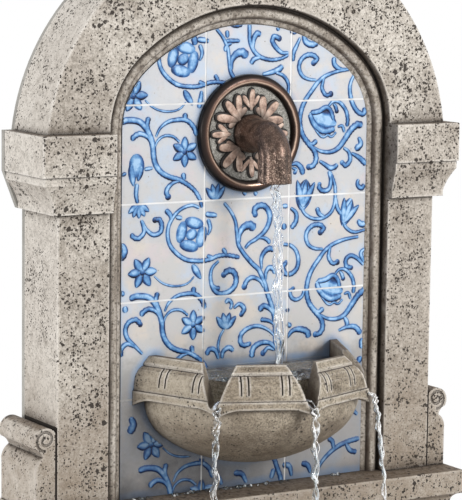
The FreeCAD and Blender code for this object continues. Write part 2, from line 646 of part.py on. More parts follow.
def build_capital(name, side):
    body = add_body(name)
    sign = "" if side > 0 else "-"
    profile = capital_profile("dim.abacus_side", "dim.lip_side")
    outer = [(f"{sign}(dim.pilaster_outer + {reach})", level) for reach, level in profile]
    inner = [(f"{sign}dim.pilaster_inner", CAPITAL_TOP), (f"{sign}dim.pilaster_inner", CAPITAL_FOOT)]
    sketch = outline(add_sketch(body, "XZ", f"-{SHELL_BACK}"), outer + inner,
                     {1: ("dim.cavetto_radius", -side)})
    pad(body, sketch, f"{SHELL_DEPTH} + dim.abacus_front")
    profile = capital_profile("dim.abacus_front", "dim.lip_front")
    front = [(f"({FACE} - ({reach}))", level) for reach, level in profile]
    ahead = f"({FACE} - 2 * dim.abacus_front)"
    sketch = add_sketch(body, "YZ", f"{sign}dim.pilaster_inner - dim.base_half")
    outline(sketch, [(ahead, CAPITAL_FOOT)] + front + [(ahead, CAPITAL_TOP)],
            {2: ("dim.cavetto_radius", 1)})
    pocket(body, sketch, "2 * dim.base_half")
    wall = "dim.shell_wall"
    near, far = f"(dim.pilaster_inner + {wall})", f"(dim.pilaster_outer - {wall} / 2)"
    low, high = (near, far) if side > 0 else (f"-{far}", f"-{near}")
    hollow = rectangle(add_sketch(body, "XZ", f"-{SHELL_BACK}"), low, f"{CAPITAL_FOOT} + {wall}", high,
                       f"{CAPITAL_TOP} - {wall}")
    pocket(body, hollow, f"{SHELL_DEPTH} - {wall}")
    slab_level = number(f"{CAPITAL_TOP} - dim.abacus_height")
    slab_front = number(f"{FACE} - dim.abacus_front")
    slab_side = side * number("dim.pilaster_outer + dim.abacus_side")

    def is_slab_edge(edge):
        box = edge.BoundBox
        on_front = abs(box.YMin - slab_front) < 0.01 and box.YLength < 0.01
        on_side = abs(box.XMin - slab_side) < 0.01 and box.XLength < 0.01
        return (on_front or on_side) and box.ZMax > slab_level + 1

    round_edges(body, "dim.edge_round", is_slab_edge)
    return body


def build_arch():
    body = add_body("arch_ring")
    foot_x = "sqrt(dim.arch_radius^2 - dim.arch_drop^2)"
    centre_z = f"({CAPITAL_TOP} - dim.arch_drop)"
    crown = f"({centre_z} + dim.arch_radius)"
    curve, radii = arch_curve("0")
    corners = [(foot_x, CAPITAL_TOP), ("0", crown), (f"-{foot_x}", CAPITAL_TOP)] + list(reversed(curve))
    arcs = {0: ("dim.arch_radius", 1), 1: ("dim.arch_radius", 1)}
    arcs.update({3 + index: (radius, -1) for index, radius in enumerate(radii)})
    pad(body, outline(add_sketch(body, "XZ", f"-{SHELL_BACK}"), corners, arcs), SHELL_DEPTH)
    wall = "dim.shell_wall"
    room_radius = f"(dim.arch_radius - {wall})"
    floor_z = f"({CAPITAL_TOP} + {wall})"
    room_x = f"sqrt({room_radius}^2 - (dim.arch_drop + {wall})^2)"
    haunch_out, crown_out = f"(dim.haunch_radius + {wall})", f"({CROWN_RADIUS} + {wall})"
    near_x = f"(dim.pilaster_inner - dim.haunch_radius + sqrt({haunch_out}^2 - {wall}^2))"
    joints, _ = arch_curve(f"(-{wall})")
    inner = [(f"-{near_x}", floor_z), joints[2], joints[1], (near_x, floor_z)]
    hollow = [(room_x, floor_z), ("0", f"({crown} - {wall})"), (f"-{room_x}", floor_z)] + inner
    arcs = {0: (room_radius, 1), 1: (room_radius, 1), 3: (haunch_out, -1), 4: (crown_out, -1),
            5: (haunch_out, -1)}
    pocket(body, outline(add_sketch(body, "XZ", f"-{SHELL_BACK}"), hollow, arcs),
           f"{SHELL_DEPTH} - {wall}")
    drill_screws(body, arch_screws())

    def is_front_arris(edge):
        box = edge.BoundBox
        on_front = abs(box.YMin - number(FACE)) < 0.01 and box.YLength < 0.01
        return on_front and box.ZLength > 1

    round_edges(body, "dim.edge_round", is_front_arris)
    return body


def build_frame():
    """The rounded moulding between castings and tiles, swept up one side, over and down the other."""
    body = add_body("panel_frame")
    half = "(dim.pilaster_inner - dim.seat_gap)"
    inner = "(dim.pilaster_inner - dim.frame_width)"
    flat = f"({TILE} - dim.frame_rise)"
    bead = "(dim.pilaster_inner - dim.bead_set)"
    bed = f"({TILE} + dim.tile_thickness)"
    section = [(half, bed), (half, flat), (f"({bead} + dim.bead_radius)", flat),
               (bead, f"({flat} - dim.bead_radius)"), (f"({bead} - dim.bead_radius)", flat),
               (inner, f"({TILE} + dim.frame_rise)"), (inner, bed)]
    round_off = ("dim.bead_radius", -1)
    profile = outline(add_sketch(body, "XY", LEDGE), section, {2: round_off, 3: round_off})
    curve, radii = arch_curve("dim.seat_gap")
    corners = [(half, LEDGE)] + curve + [(f"-{half}", LEDGE)]
    path = outline(add_sketch(body, "XZ", f"-{bed}"), corners,
                   {1 + index: (radius, 1) for index, radius in enumerate(radii)}, closed=False)
    pipe(body, profile, path)
    return body


def build_back_panel():
    body = add_body("back_panel")
    slab_foot = f"({CAPITAL_TOP} - dim.abacus_height)"
    slab_half = "(dim.pilaster_outer + dim.abacus_side)"
    foot_x = "sqrt(dim.arch_radius^2 - dim.arch_drop^2)"
    crown = f"({CAPITAL_TOP} - dim.arch_drop + dim.arch_radius)"
    right = [("dim.pilaster_outer", LEDGE), ("dim.pilaster_outer", CAPITAL_FOOT),
             ("(dim.pilaster_outer + dim.lip_side)", CAPITAL_FOOT), (slab_half, slab_foot),
             (slab_half, CAPITAL_TOP),
             (foot_x, CAPITAL_TOP)]
    left = [(f"-{x}", z) for x, z in reversed(right)]
    arcs = {5: ("dim.arch_radius", 1), 6: ("dim.arch_radius", 1)}
    pad(body, outline(add_sketch(body, "XZ", f"-{BACK}"), right + [("0", crown)] + left, arcs),
        "dim.back_plate")
    for x, z in screw_points():
        hole = circle(add_sketch(body, "XZ", f"-{BACK}"), x, z, "dim.screw_radius + dim.pin_fit")
        pocket(body, hole, "2 * dim.back_plate")
        sink = circle(add_sketch(body, "XZ", f"-{BACK}"), x, z, "dim.screw_head + dim.pin_fit")
        pocket(body, sink, "dim.screw_radius")
    return body


def pilaster_screws():
    """Screw positions in the end walls of the right pilaster."""
    column = "((dim.pilaster_inner + dim.pilaster_outer) / 2)"
    return [(column, f"({LEDGE} + dim.shell_wall / 2)"),
            (column, f"({CAPITAL_FOOT} - dim.shell_wall / 2)")]


def arch_screws():
    """Screw positions in the outer wall of the arch."""
    reach = "(dim.arch_radius - dim.shell_wall / 2)"
    return [(f"({reach} * cos({angle}))", f"({CAPITAL_TOP} - dim.arch_drop + {reach} * sin({angle}))")
            for angle in ARCH_SCREW_TURNS]


def screw_points():
    """Where the back panel's screws go: two in each pilaster and four in the arch."""
    right = pilaster_screws()
    return right + [(f"-{x}", z) for x, z in right] + arch_screws()


def drill_screws(body, points):
    for x, z in points:
        hole = circle(add_sketch(body, "XZ", f"-{SHELL_BACK}"), x, z, "dim.screw_radius + dim.pin_fit")
        pocket(body, hole, "dim.screw_length - dim.back_plate + dim.seat_gap")


def build_scroll(name, side):
    """A bracket with a roll at its top, drawn in front view and run through the depth."""
    body = add_body(name)
    sign = "" if side > 0 else "-"
    near = "(dim.pilaster_outer + dim.seat_gap)"
    roll = "dim.volute_radius"
    roll_z = "(dim.plinth_top + dim.volute_height)"
    waist = ("dim.neck_half", "(dim.plinth_top + dim.waist_height)")
    shoulder = ("dim.scroll_half", "(dim.plinth_top + dim.shoulder_height)")
    lower = f"({roll} * sin({ROLL_TURN}))"
    across = f"({roll} * cos({ROLL_TURN}))"
    corners = [(near, LEDGE), ("dim.scroll_half", LEDGE), shoulder, waist,
               (f"(dim.volute_half + {across})", f"({roll_z} - {lower})"),
               ("dim.volute_half", f"({roll_z} + {roll})"),
               (f"(dim.volute_half - {across})", f"({roll_z} + {lower})"),
               (near, f"({roll_z} - {lower})")]
    corners = [(f"{sign}{x}", z) for x, z in corners]
    arcs = {2: ("(dim.waist_height - dim.shoulder_height)", side), 3: (roll, -side), 4: (roll, side),
            5: (roll, side)}
    sketch = outline(add_sketch(body, "XZ", f"-{BACK}"), corners, arcs)
    pad(body, sketch, "dim.wall_depth + dim.scroll_front")
    # Spiral line of half circles on the front of the roll
    front = f"({TILE} - dim.scroll_front)"
    middle = f"{sign}dim.volute_half"
    turns = [(middle, f"({roll_z} - dim.spiral_start)")]
    arcs = {}
    centre_z = roll_z
    for index in range(int(number("dim.spiral_turns"))):
        radius = f"(dim.spiral_start - {index} * dim.spiral_step)"
        up = "+" if index % 2 == 0 else "-"
        out = "+" if (index % 2 == 0) == (side > 0) else "-"
        arcs[2 * index] = (radius, side)
        arcs[2 * index + 1] = (radius, side)
        turns.append((f"({middle} {out} {radius})", centre_z))
        turns.append((middle, f"({centre_z} {up} {radius})"))
        centre_z = f"({centre_z} {up} dim.spiral_step)"
    path = outline(add_sketch(body, "XZ", f"-{front}"), turns, arcs, closed=False)
    section = circle(add_sketch(body, "YZ", middle), front, turns[0][1], "dim.spiral_cut")
    pipe(body, section, path, cut=True)
    return body


# Tiled panel


def build_bed():
    body = add_body("tile_bed")
    sketch = arched_panel(add_sketch(body, "XZ", f"-{BED_BACK}"), "dim.seat_gap")
    pad(body, sketch, "dim.bed_thickness")
    hole = circle(add_sketch(body, "XZ", f"-{BED_BACK}"), "0", MEDALLION_Z,
                  "dim.tail_radius + dim.seat_gap")
    pocket(body, hole, "2 * dim.bed_thickness")
    for sign in ("", "-"):
        hole = circle(add_sketch(body, "XZ", f"-{BED_BACK}"), f"{sign}dim.bolt_half",
                      f"{LEDGE} + dim.bolt_height",
                      "dim.bolt_radius + dim.pin_fit")
        pocket(body, hole, "2 * dim.bed_thickness")
    return body


def build_tiles():
    """A sheet parted along the joints into separate tiles, and the grout in the joints."""
    glazed = tile_sheet("dim.tile_thickness")
    filled = tile_sheet("(dim.tile_thickness - dim.grout_set)")
    joints = fuse(tile_joints())
    keep("wall_tiles", cut(glazed, [joints], "wall_tiles"))
    keep("grout_lines", common(filled, joints, "grout_lines"))


def tile_sheet(thickness):
    """One sheet as thick as asked on the bed, with the holes for the spout and the bowl's bolts."""
    sheet = doc.addObject("PartDesign::Body", "tile_sheet")
    back = f"({TILE} + dim.tile_thickness)"
    sketch = arched_panel(add_sketch(sheet, "XZ", f"-{back}"), "(dim.frame_width + dim.seat_gap)")
    pad(sheet, sketch, thickness)
    hole = circle(add_sketch(sheet, "XZ", f"-{back}"), "0", MEDALLION_Z, "dim.tail_radius + dim.seat_gap")
    pocket(sheet, hole, "2 * dim.tile_thickness")
    for sign in ("", "-"):
        hole = circle(add_sketch(sheet, "XZ", f"-{back}"), f"{sign}dim.bolt_half",
                      f"{LEDGE} + dim.bolt_height", "dim.bolt_radius + dim.pin_fit")
        pocket(sheet, hole, "2 * dim.tile_thickness")
    return sheet


def tile_joints():
    """Bars along the joints between the tiles, through the sheet."""
    deep = "3 * dim.tile_thickness"
    front = f"{TILE} - dim.tile_thickness"
    panel_height = "dim.shaft_height + dim.capital_height + dim.arch_rise"
    joints = []
    for sign in ("", "-"):
        joints.append(add_box(f"{sign}dim.tile_width / 2 - dim.grout / 2", front, LEDGE,
                              "dim.grout", deep, panel_height))
    rows = math.ceil(number(f"{panel_height} - dim.first_row") / number("dim.tile_height"))
    for row in range(rows):
        level = f"{LEDGE} + dim.first_row + {row} * dim.tile_height - dim.grout / 2"
        joints.append(add_box("-dim.pilaster_inner", front, level, "2 * dim.pilaster_inner", deep,
                              "dim.grout"))
    return joints


# Bronze medallion and spout


def build_medallion():
    """Dish with a rounded ring, turned about its own axis and laid against the tiles."""
    foot, field = "dim.ring_foot", "dim.field_reach"
    hole = "(dim.tail_radius + dim.seat_gap)"
    profile = [(hole, "0"), ("dim.medallion_radius", "0"), ("dim.medallion_radius", foot),
               ("dim.ridge_radius", "dim.ridge_reach"), ("dim.recess_radius", f"({foot} + dim.pin_fit)"),
               ("dim.recess_radius", field), (hole, field)]
    arcs = {2: ("(dim.medallion_radius - dim.ridge_radius + dim.seat_gap)", 1),
            3: ("(dim.ridge_radius - dim.recess_radius + dim.seat_gap)", 1)}
    return turned("medallion", profile, "0", TILE, MEDALLION_Z, "-Y", arcs)


def leaf_outline(sketch):
    """A leaf with two lobes on each side and a round tip, from its foot outwards."""
    foot = "dim.leaf_root"
    right = [("dim.leaf_foot_half", foot), ("dim.leaf_half", f"({foot} + dim.leaf_lobe_low)"),
             ("dim.leaf_notch", f"({foot} + dim.leaf_notch_low)"),
             ("dim.leaf_half", f"({foot} + dim.leaf_lobe_high)"),
             ("dim.leaf_notch", f"({foot} + dim.leaf_notch_high)")]
    left = [(f"-{x}", z) for x, z in reversed(right)]
    curves = ["dim.leaf_bow", "dim.leaf_tuck"] * 2 + ["dim.leaf_bow"]
    arcs = {side: (radius, 1) for side, radius in enumerate(curves + curves[::-1])}
    return outline(sketch, right + [("0", "dim.leaf_reach")] + left, arcs)


def build_leaves():
    """Lobed leaves around the spout, each a separate solid seated on the sunk field."""
    count = int(number("dim.leaf_count"))
    leaves = []
    for index in range(count):
        body = doc.addObject("PartDesign::Body", "leaf")
        pad(body, leaf_outline(add_sketch(body, "XY")), "dim.leaf_relief")
        turn = Rotation(Vector(1, 0, 0), 90) * Rotation(Vector(0, 0, 1), 360 * index / count)
        place(body, "0", f"{TILE} - dim.field_reach", MEDALLION_Z, tuple(turn.Axis),
              math.degrees(turn.Angle))
        leaves.append(body)
    group("acanthus_leaves", leaves)


def build_spout():
    """Bent pipe with a collar, a rim at its mouth and a threaded tail through the panel."""
    body = add_body("spout")
    root = f"({TILE} - dim.field_reach)"
    fall_y = f"({TILE} - dim.spout_reach)"
    mouth_z = f"({MEDALLION_Z} - dim.spout_drop)"
    bend = [(root, MEDALLION_Z), (f"({fall_y} + dim.spout_bend)", MEDALLION_Z),
            (fall_y, f"({MEDALLION_Z} - dim.spout_bend)"), (fall_y, mouth_z)]
    path = outline(add_sketch(body, "YZ"), bend, {1: ("dim.spout_bend", 1)}, closed=False)
    section = circle(add_sketch(body, "XZ", f"-{root}"), "0", MEDALLION_Z, "dim.spout_radius")
    pipe(body, section, path)
    collar = circle(add_sketch(body, "XZ", f"-{root}"), "0", MEDALLION_Z, "dim.collar_radius")
    pad(body, collar, "dim.collar_reach - dim.field_reach")
    rim = circle(add_sketch(body, "XY", mouth_z), "0", fall_y, "dim.spout_radius + dim.mouth_rise")
    pad(body, rim, "dim.mouth_band")
    tail = circle(add_sketch(body, "XZ", f"-({TILE} + dim.tail_length)"), "0", MEDALLION_Z,
                  "dim.tail_radius")
    pad(body, tail, "dim.tail_length + dim.collar_reach")
    below_mouth = (fall_y, f"({mouth_z} - dim.mouth_band)")
    inside = [(f"({TILE} - dim.collar_reach)", MEDALLION_Z)] + bend[1:3] + [below_mouth]
    path = outline(add_sketch(body, "YZ"), inside, {1: ("dim.spout_bend", 1)}, closed=False)
    section = circle(add_sketch(body, "XZ", f"-{inside[0][0]}"), "0", MEDALLION_Z, "dim.spout_bore")
    pipe(body, section, path, cut=True)
    bore = circle(add_sketch(body, "XZ", f"-({TILE} + dim.tail_length)"), "0", MEDALLION_Z,
                  "dim.tail_bore")
    pocket(body, bore, "dim.tail_length + 2 * dim.collar_reach")
    return body


def build_spout_fixings():
    fit = "(dim.tail_radius + dim.pin_fit)"
    ring("spout_washer", fit, "dim.washer_radius", "dim.washer_height", "0", BED_BACK, MEDALLION_Z, "+Y")
    nut = add_body("spout_nut")
    sketch = add_sketch(nut, "XY")
    corners = [(f"(dim.nut_radius * {math.cos(math.radians(60 * index + 30)):.6f})",
                f"(dim.nut_radius * {math.sin(math.radians(60 * index + 30)):.6f})") for index in range(6)]
    outline(sketch, corners)
    circle(sketch, "0", "0", fit)
    pad(nut, sketch, "dim.nut_height")
    place(nut, "0", f"{BED_BACK} + dim.washer_height", MEDALLION_Z, *ALONG["+Y"])


# Upper bowl

NOTCH_TURNS = ("-45", "0", "45")
# Outward directions of the front and side panels, turned from straight ahead
FRONT_TURN = "atan((dim.bowl_front - dim.bowl_corner_y) / dim.bowl_corner_x)"
SIDE_TURN = "atan(dim.bowl_corner_y / (dim.bowl_half - dim.bowl_corner_x))"


def bowl_panels():
    """Turn, distance from the bowl's middle, and both ends of each panel along its own line."""
    across, ahead, front, side = "dim.bowl_corner_x", "dim.bowl_corner_y", FRONT_TURN, SIDE_TURN
    return [
        (front, f"(dim.bowl_front * cos({front}))", f"(-dim.bowl_front * sin({front}))",
         f"({across} * cos({front}) - {ahead} * sin({front}))"),
        (side, f"({across} * sin({side}) + {ahead} * cos({side}))",
         f"({across} * cos({side}) - {ahead} * sin({side}))",
         f"(dim.bowl_half * cos({side}))"),
    ]


def bowl_outline(body, level, inset, back=TILE):
    """Half octagon of the bowl at a level above the ledge, each panel moved inwards by inset."""
    middle = f"(({FRONT_TURN} + {SIDE_TURN}) / 2)"
    mitre = f"({inset} / cos(({SIDE_TURN} - {FRONT_TURN}) / 2))"
    corner_x = f"(dim.bowl_corner_x - {mitre} * sin({middle}))"
    corner_y = f"({TILE} - dim.bowl_corner_y + {mitre} * cos({middle}))"
    half = f"(dim.bowl_half - {inset} / sin({SIDE_TURN}))"
    front = f"({TILE} - dim.bowl_front + {inset} / cos({FRONT_TURN}))"
    corners = [(f"-{half}", back), (f"-{corner_x}", corner_y), ("0", front), (corner_x, corner_y),
               (half, back)]
    return outline(add_sketch(body, "XY", f"{LEDGE} + {level}"), corners)


def band_sections(foot_level, full_level, top_level, inset):
    """Levels and insets of a rounded band: upright to its fullest part, then a quarter ellipse."""
    sections = [(foot_level, "0"), (full_level, "0")]
    for angle in BAND_TURNS:
        level = f"({full_level} + ({top_level} - {full_level}) * sin({angle}))"
        sections.append((level, f"({inset} * (1 - cos({angle})))"))
    return sections


def belly_profile(radius, depth, side, top, axis_y):
    """Quarter of a round belly in the side view: two arcs from its rim down to its lowest point."""
    bottom_radius = f"(({radius}^2 + {depth}^2 - 2 * {radius} * {side}) / (2 * ({depth} - {side})))"
    share = f"({side} / ({bottom_radius} - {side}))"
    joint_y = f"({axis_y} - ({radius} - {side}) * (1 + {share}))"
    joint_z = f"({top} - ({bottom_radius} - {depth}) * {share})"
    corners = [(axis_y, top), (f"({axis_y} - {radius})", top), (joint_y, joint_z),
               (axis_y, f"({top} - {depth})")]
    return corners, {1: (side, 1), 2: (bottom_radius, 1)}


def half_turn(body, sketch, kind):
    """Turn a side view half a turn about the sketch's own upright line, from wall to wall."""
    feature = body.newObject(kind, "belly")
    feature.Profile = sketch
    feature.ReferenceAxis = (sketch, ["Axis0"])
    feature.Angle = 180
    feature.Midplane = True
    doc.recompute()
    return feature


def add_axis(sketch, axis_y, low, high):
    geometry = sketch.addGeometry(Part.LineSegment(Vector(number(axis_y), number(low), 0),
                                                   Vector(number(axis_y), number(high), 0)), True)
    pin_point(sketch, geometry, 1, (axis_y, low))
    pin_point(sketch, geometry, 2, (axis_y, high))
    return sketch


def build_bowl():
    body = add_body("upper_bowl")
    fascia = bowl_outline(body, "dim.beak_tip", "(-dim.bowl_fascia_reach)")
    pad(body, fascia, "dim.bowl_band_foot - dim.beak_tip")
    hollow_band_foot(body)
    belly_top = f"({LEDGE} + dim.bowl_lip_foot)"
    corners, arcs = belly_profile("dim.belly_radius", "dim.belly_depth", "dim.belly_side", belly_top,
                                  TILE)
    sketch = add_axis(outline(add_sketch(body, "YZ"), corners, arcs), TILE, LEDGE, belly_top)
    half_turn(body, sketch, "PartDesign::Revolution")
    band = band_sections("dim.bowl_band_foot", "dim.bowl_band_full", "dim.bowl_band_top",
                         "dim.bowl_band_inset")
    loft(body, [bowl_outline(body, level, inset) for level, inset in band], ruled=True)
    bevel = [("dim.bowl_band_top", "dim.bowl_bevel_inset"),
             ("dim.bowl_bevel_foot", "dim.bowl_bevel_inset"),
             ("dim.bowl_rim", "dim.bowl_rim_inset")]
    loft(body, [bowl_outline(body, level, inset) for level, inset in bevel], ruled=True)
    # Hollow: a half octagon above the back wall's top, and a round belly below it
    upper = [bowl_outline(body, level, "dim.bowl_cavity_inset", f"({TILE} + dim.bowl_back)")
             for level in ("dim.bowl_back_top", "dim.bowl_rim + dim.bowl_back")]
    loft(body, upper, ruled=True, cut=True)
    inner_wall = f"({TILE} - dim.bowl_back)"
    lower = [bowl_outline(body, level, "dim.bowl_cavity_inset", inner_wall)
             for level in ("dim.bowl_lip_foot", "dim.bowl_back_top")]
    loft(body, lower, ruled=True, cut=True)
    wall = "dim.belly_wall"
    corners, arcs = belly_profile(f"(dim.belly_radius - {wall} - dim.bowl_back)",
                                  f"(dim.belly_depth - {wall})",
                                  f"(dim.belly_side - {wall})", belly_top, inner_wall)
    sketch = add_axis(outline(add_sketch(body, "YZ"), corners, arcs), inner_wall, LEDGE, belly_top)
    half_turn(body, sketch, "PartDesign::Groove")
    rise, half = "dim.notch_floor_rise", "(dim.notch_width / 2)"
    floor_half = "(dim.notch_floor_width / 2)"
    floor_radius = f"(({floor_half}^2 + {rise}^2) / (2 * {rise}))"
    side_z, top = f"({LEDGE} + dim.notch_tip + {rise})", f"({LEDGE} + dim.bowl_rim)"
    above = f"({top} + dim.bowl_back)"
    notch = [(f"-{floor_half}", side_z), (floor_half, side_z), (half, top), (half, above),
             (f"-{half}", above),
             (f"-{half}", top)]
    for turn in NOTCH_TURNS:
        sketch = add_sketch(body, "XZ", f"-{TILE} + dim.bowl_back * cos({turn})", turn,
                            f"dim.bowl_back * sin({turn})")
        outline(sketch, notch, {0: (floor_radius, 1)})
        pocket(body, sketch, "2 * dim.bowl_front")
    cut_band_lines(body)
    for sign in ("", "-"):
        hole = circle(add_sketch(body, "XZ", f"-{TILE}"), f"{sign}dim.bolt_half",
                      f"{LEDGE} + dim.bolt_height",
                      "dim.bolt_radius + dim.pin_fit")
        pocket(body, hole, "dim.bolt_bite + dim.pin_fit")
    return body


def hollow_band_foot(body):
    """Hollow the plain band's foot on each panel, so that it dips to a lip under each notch."""
    tip, foot = f"({LEDGE} + dim.beak_tip)", f"({LEDGE} + dim.bowl_lip_foot)"
    rise = "(dim.bowl_lip_foot - dim.beak_tip)"
    run = f"sqrt(2 * dim.beak_radius * {rise} - {rise}^2)"
    below = f"({tip} - {rise})"
    for sign in ("", "-"):
        for turn, distance, start, end in bowl_panels():
            low, high = (start, end) if sign == "" else (f"-{end}", f"-{start}")
            out = f"({distance} + 2 * dim.bowl_fascia_reach)"
            sketch = add_sketch(body, "XZ", f"-{TILE} + {out} * cos({turn})", f"{sign}{turn}",
                                f"{sign}{out} * sin({turn})")
            corners = [(low, below), (high, below), (high, tip), (f"({high} - {run})", foot),
                       (f"({low} + {run})", foot), (low, tip)]
            outline(sketch, corners, {2: ("dim.beak_radius", 1), 4: ("dim.beak_radius", 1)})
            pocket(body, sketch, "dim.beak_depth + dim.bowl_fascia_reach", along=False)


def cut_band_lines(body):
    """Pairs of upright incised lines near both ends of each panel of the bowl's rounded band."""
    top, full = f"({LEDGE} + dim.bowl_band_top)", f"({LEDGE} + dim.bowl_band_full)"
    for (turn, distance, start, end), end_inset in zip(bowl_panels(),
                                                       ("dim.line_inset", "dim.line_wall_inset")):
        near, far = f"({start} + dim.line_inset)", f"({end} - {end_inset})"
        surface = f"({distance} + dim.line_depth)"
        deep = f"({distance} - dim.line_depth)"
        shape = [(deep, full), (surface, full), (surface, top), (f"({deep} - dim.bowl_band_inset)", top)]
        for along in (near, f"({near} + dim.line_gap)", f"({far} - dim.line_gap)", far):
            for sign in ("", "-"):
                across = f"{sign}{along} * cos({turn})"
                sketch = add_sketch(body, "XZ", f"-({TILE} + {along} * sin({turn}))",
                                    f"{sign}{turn} - 90 deg", across)
                outline(sketch, shape, {3: ("dim.line_bow", -1)})
                pocket(body, sketch, "dim.line_width", middle=True)


def build_bowl_bolts():
    bolts = []
    for sign in ("", "-"):
        x, z = f"{sign}dim.bolt_half", f"{LEDGE} + dim.bolt_height"
        shank = add_cylinder(x, BED_BACK, z, "dim.bolt_radius",
                             "dim.bed_thickness + dim.tile_thickness + dim.bolt_bite", "-Y")
        head = add_cylinder(x, BED_BACK, z, "dim.bolt_head", "dim.bolt_head_height", "+Y")
        bolts.append(fuse([shank, head]))
    group("bowl_bolts", bolts)


# Lower basin with its pump well


def basin_outline(body, level, inset, back=BODY_FRONT):
    """Bow-fronted outline of the lower basin against the plinth, moved inwards by inset."""
    run = f"({BODY_FRONT} + dim.overall_depth / 2 - dim.basin_side)"
    bend = f"atan((dim.basin_half - dim.basin_front_half) / {run})"
    half = f"(dim.basin_half - {inset})"
    side_y = f"({BODY_FRONT} - dim.basin_side + {inset} * tan({bend} / 2))"
    front_half = f"(dim.basin_front_half - {inset} * tan(45 deg - {bend} / 2))"
    front_y = f"(-dim.overall_depth / 2 + {inset})"
    corners = [(f"-{half}", back), (f"-{half}", side_y), (f"-{front_half}", front_y),
               (front_half, front_y),
               (half, side_y), (half, back)]
    return outline(add_sketch(body, "XY", level), corners)


def build_basin():
    body = add_body("lower_basin")
    pad(body, basin_outline(body, "dim.foot_height", "dim.basin_foot_inset"),
        "dim.basin_foot_top - dim.foot_height")
    belly = [("dim.basin_foot_top", "dim.basin_foot_inset"),
             ("dim.basin_belly_mid", "dim.basin_belly_mid_inset"),
             ("dim.basin_belly_top", "dim.basin_belly_inset")]
    loft(body, [basin_outline(body, level, inset) for level, inset in belly])
    fascia = basin_outline(body, "dim.basin_belly_top", "dim.basin_fascia_inset")
    pad(body, fascia, "dim.basin_band_foot - dim.basin_belly_top")
    band = band_sections("dim.basin_band_foot", "dim.basin_band_full", "dim.basin_band_top",
                         "dim.basin_band_inset")
    loft(body, [basin_outline(body, level, inset) for level, inset in band], ruled=True)
    bevel = [("dim.basin_band_top", "dim.basin_bevel_inset"),
             ("dim.basin_bevel_foot", "dim.basin_bevel_inset"),
             ("dim.basin_rim", "dim.basin_rim_inset")]
    loft(body, [basin_outline(body, level, inset) for level, inset in bevel], ruled=True)
    inner_back = f"({BODY_FRONT} - dim.partition)"
    hollow = [basin_outline(body, "dim.basin_floor", "dim.basin_floor_inset", inner_back),
              basin_outline(body, "dim.basin_rim + dim.basin_floor", "dim.basin_cavity_inset",
                            inner_back)]
    loft(body, hollow, ruled=True, cut=True)
    # Pump well behind the partition, inside the plinth
    outer = "(dim.well_half + dim.well_wall)"
    block = rectangle(add_sketch(body, "XY", "dim.foot_height"), f"-{outer}", BODY_FRONT, outer,
                      f"{TILE} + dim.well_back + dim.well_wall")
    pad(body, block, "dim.well_top - dim.foot_height")
    room = rectangle(add_sketch(body, "XY", "dim.well_floor"), "-dim.well_half", BODY_FRONT,
                     "dim.well_half",
                     f"{TILE} + dim.well_back")
    pocket(body, room, "2 * dim.well_top")
    slot = rectangle(add_sketch(body, "XZ", f"-({BODY_FRONT} + dim.well_wall)"), "-dim.slot_half",
                     "dim.basin_floor",
                     "dim.slot_half", "dim.basin_floor + dim.slot_height")
    pocket(body, slot, "2 * dim.partition + dim.well_wall")
    drain = circle(add_sketch(body, "YZ", "-dim.basin_half"), DRAIN_Y, "dim.drain_height",
                   "dim.drain_radius")
    pocket(body, drain, "dim.basin_half - dim.well_half")
    return body


def build_drain():
    """Rubber bush in the basin's side, and the plug that pulls out of it."""
    bore = "(dim.drain_radius - dim.drain_bush_wall)"
    ring("drain_bush", bore, "(dim.drain_radius - dim.pin_fit)", "dim.drain_plug_length",
         f"-{DRAIN_FACE}", DRAIN_Y,
         "dim.drain_height", "+X")
    shank = f"({bore} - dim.pin_fit)"
    head = "dim.drain_head"
    profile = [("0", "0"), (head, "0"), (head, "dim.drain_head_height"), (shank, "dim.drain_head_height"),
               (shank, "(dim.drain_head_height + dim.drain_plug_length)"),
               ("0", "(dim.drain_head_height + dim.drain_plug_length)")]
    turned("drain_plug", profile, f"-{DRAIN_FACE} - dim.drain_head_height - dim.seat_gap", DRAIN_Y,
           "dim.drain_height", "+X")


# Water supply


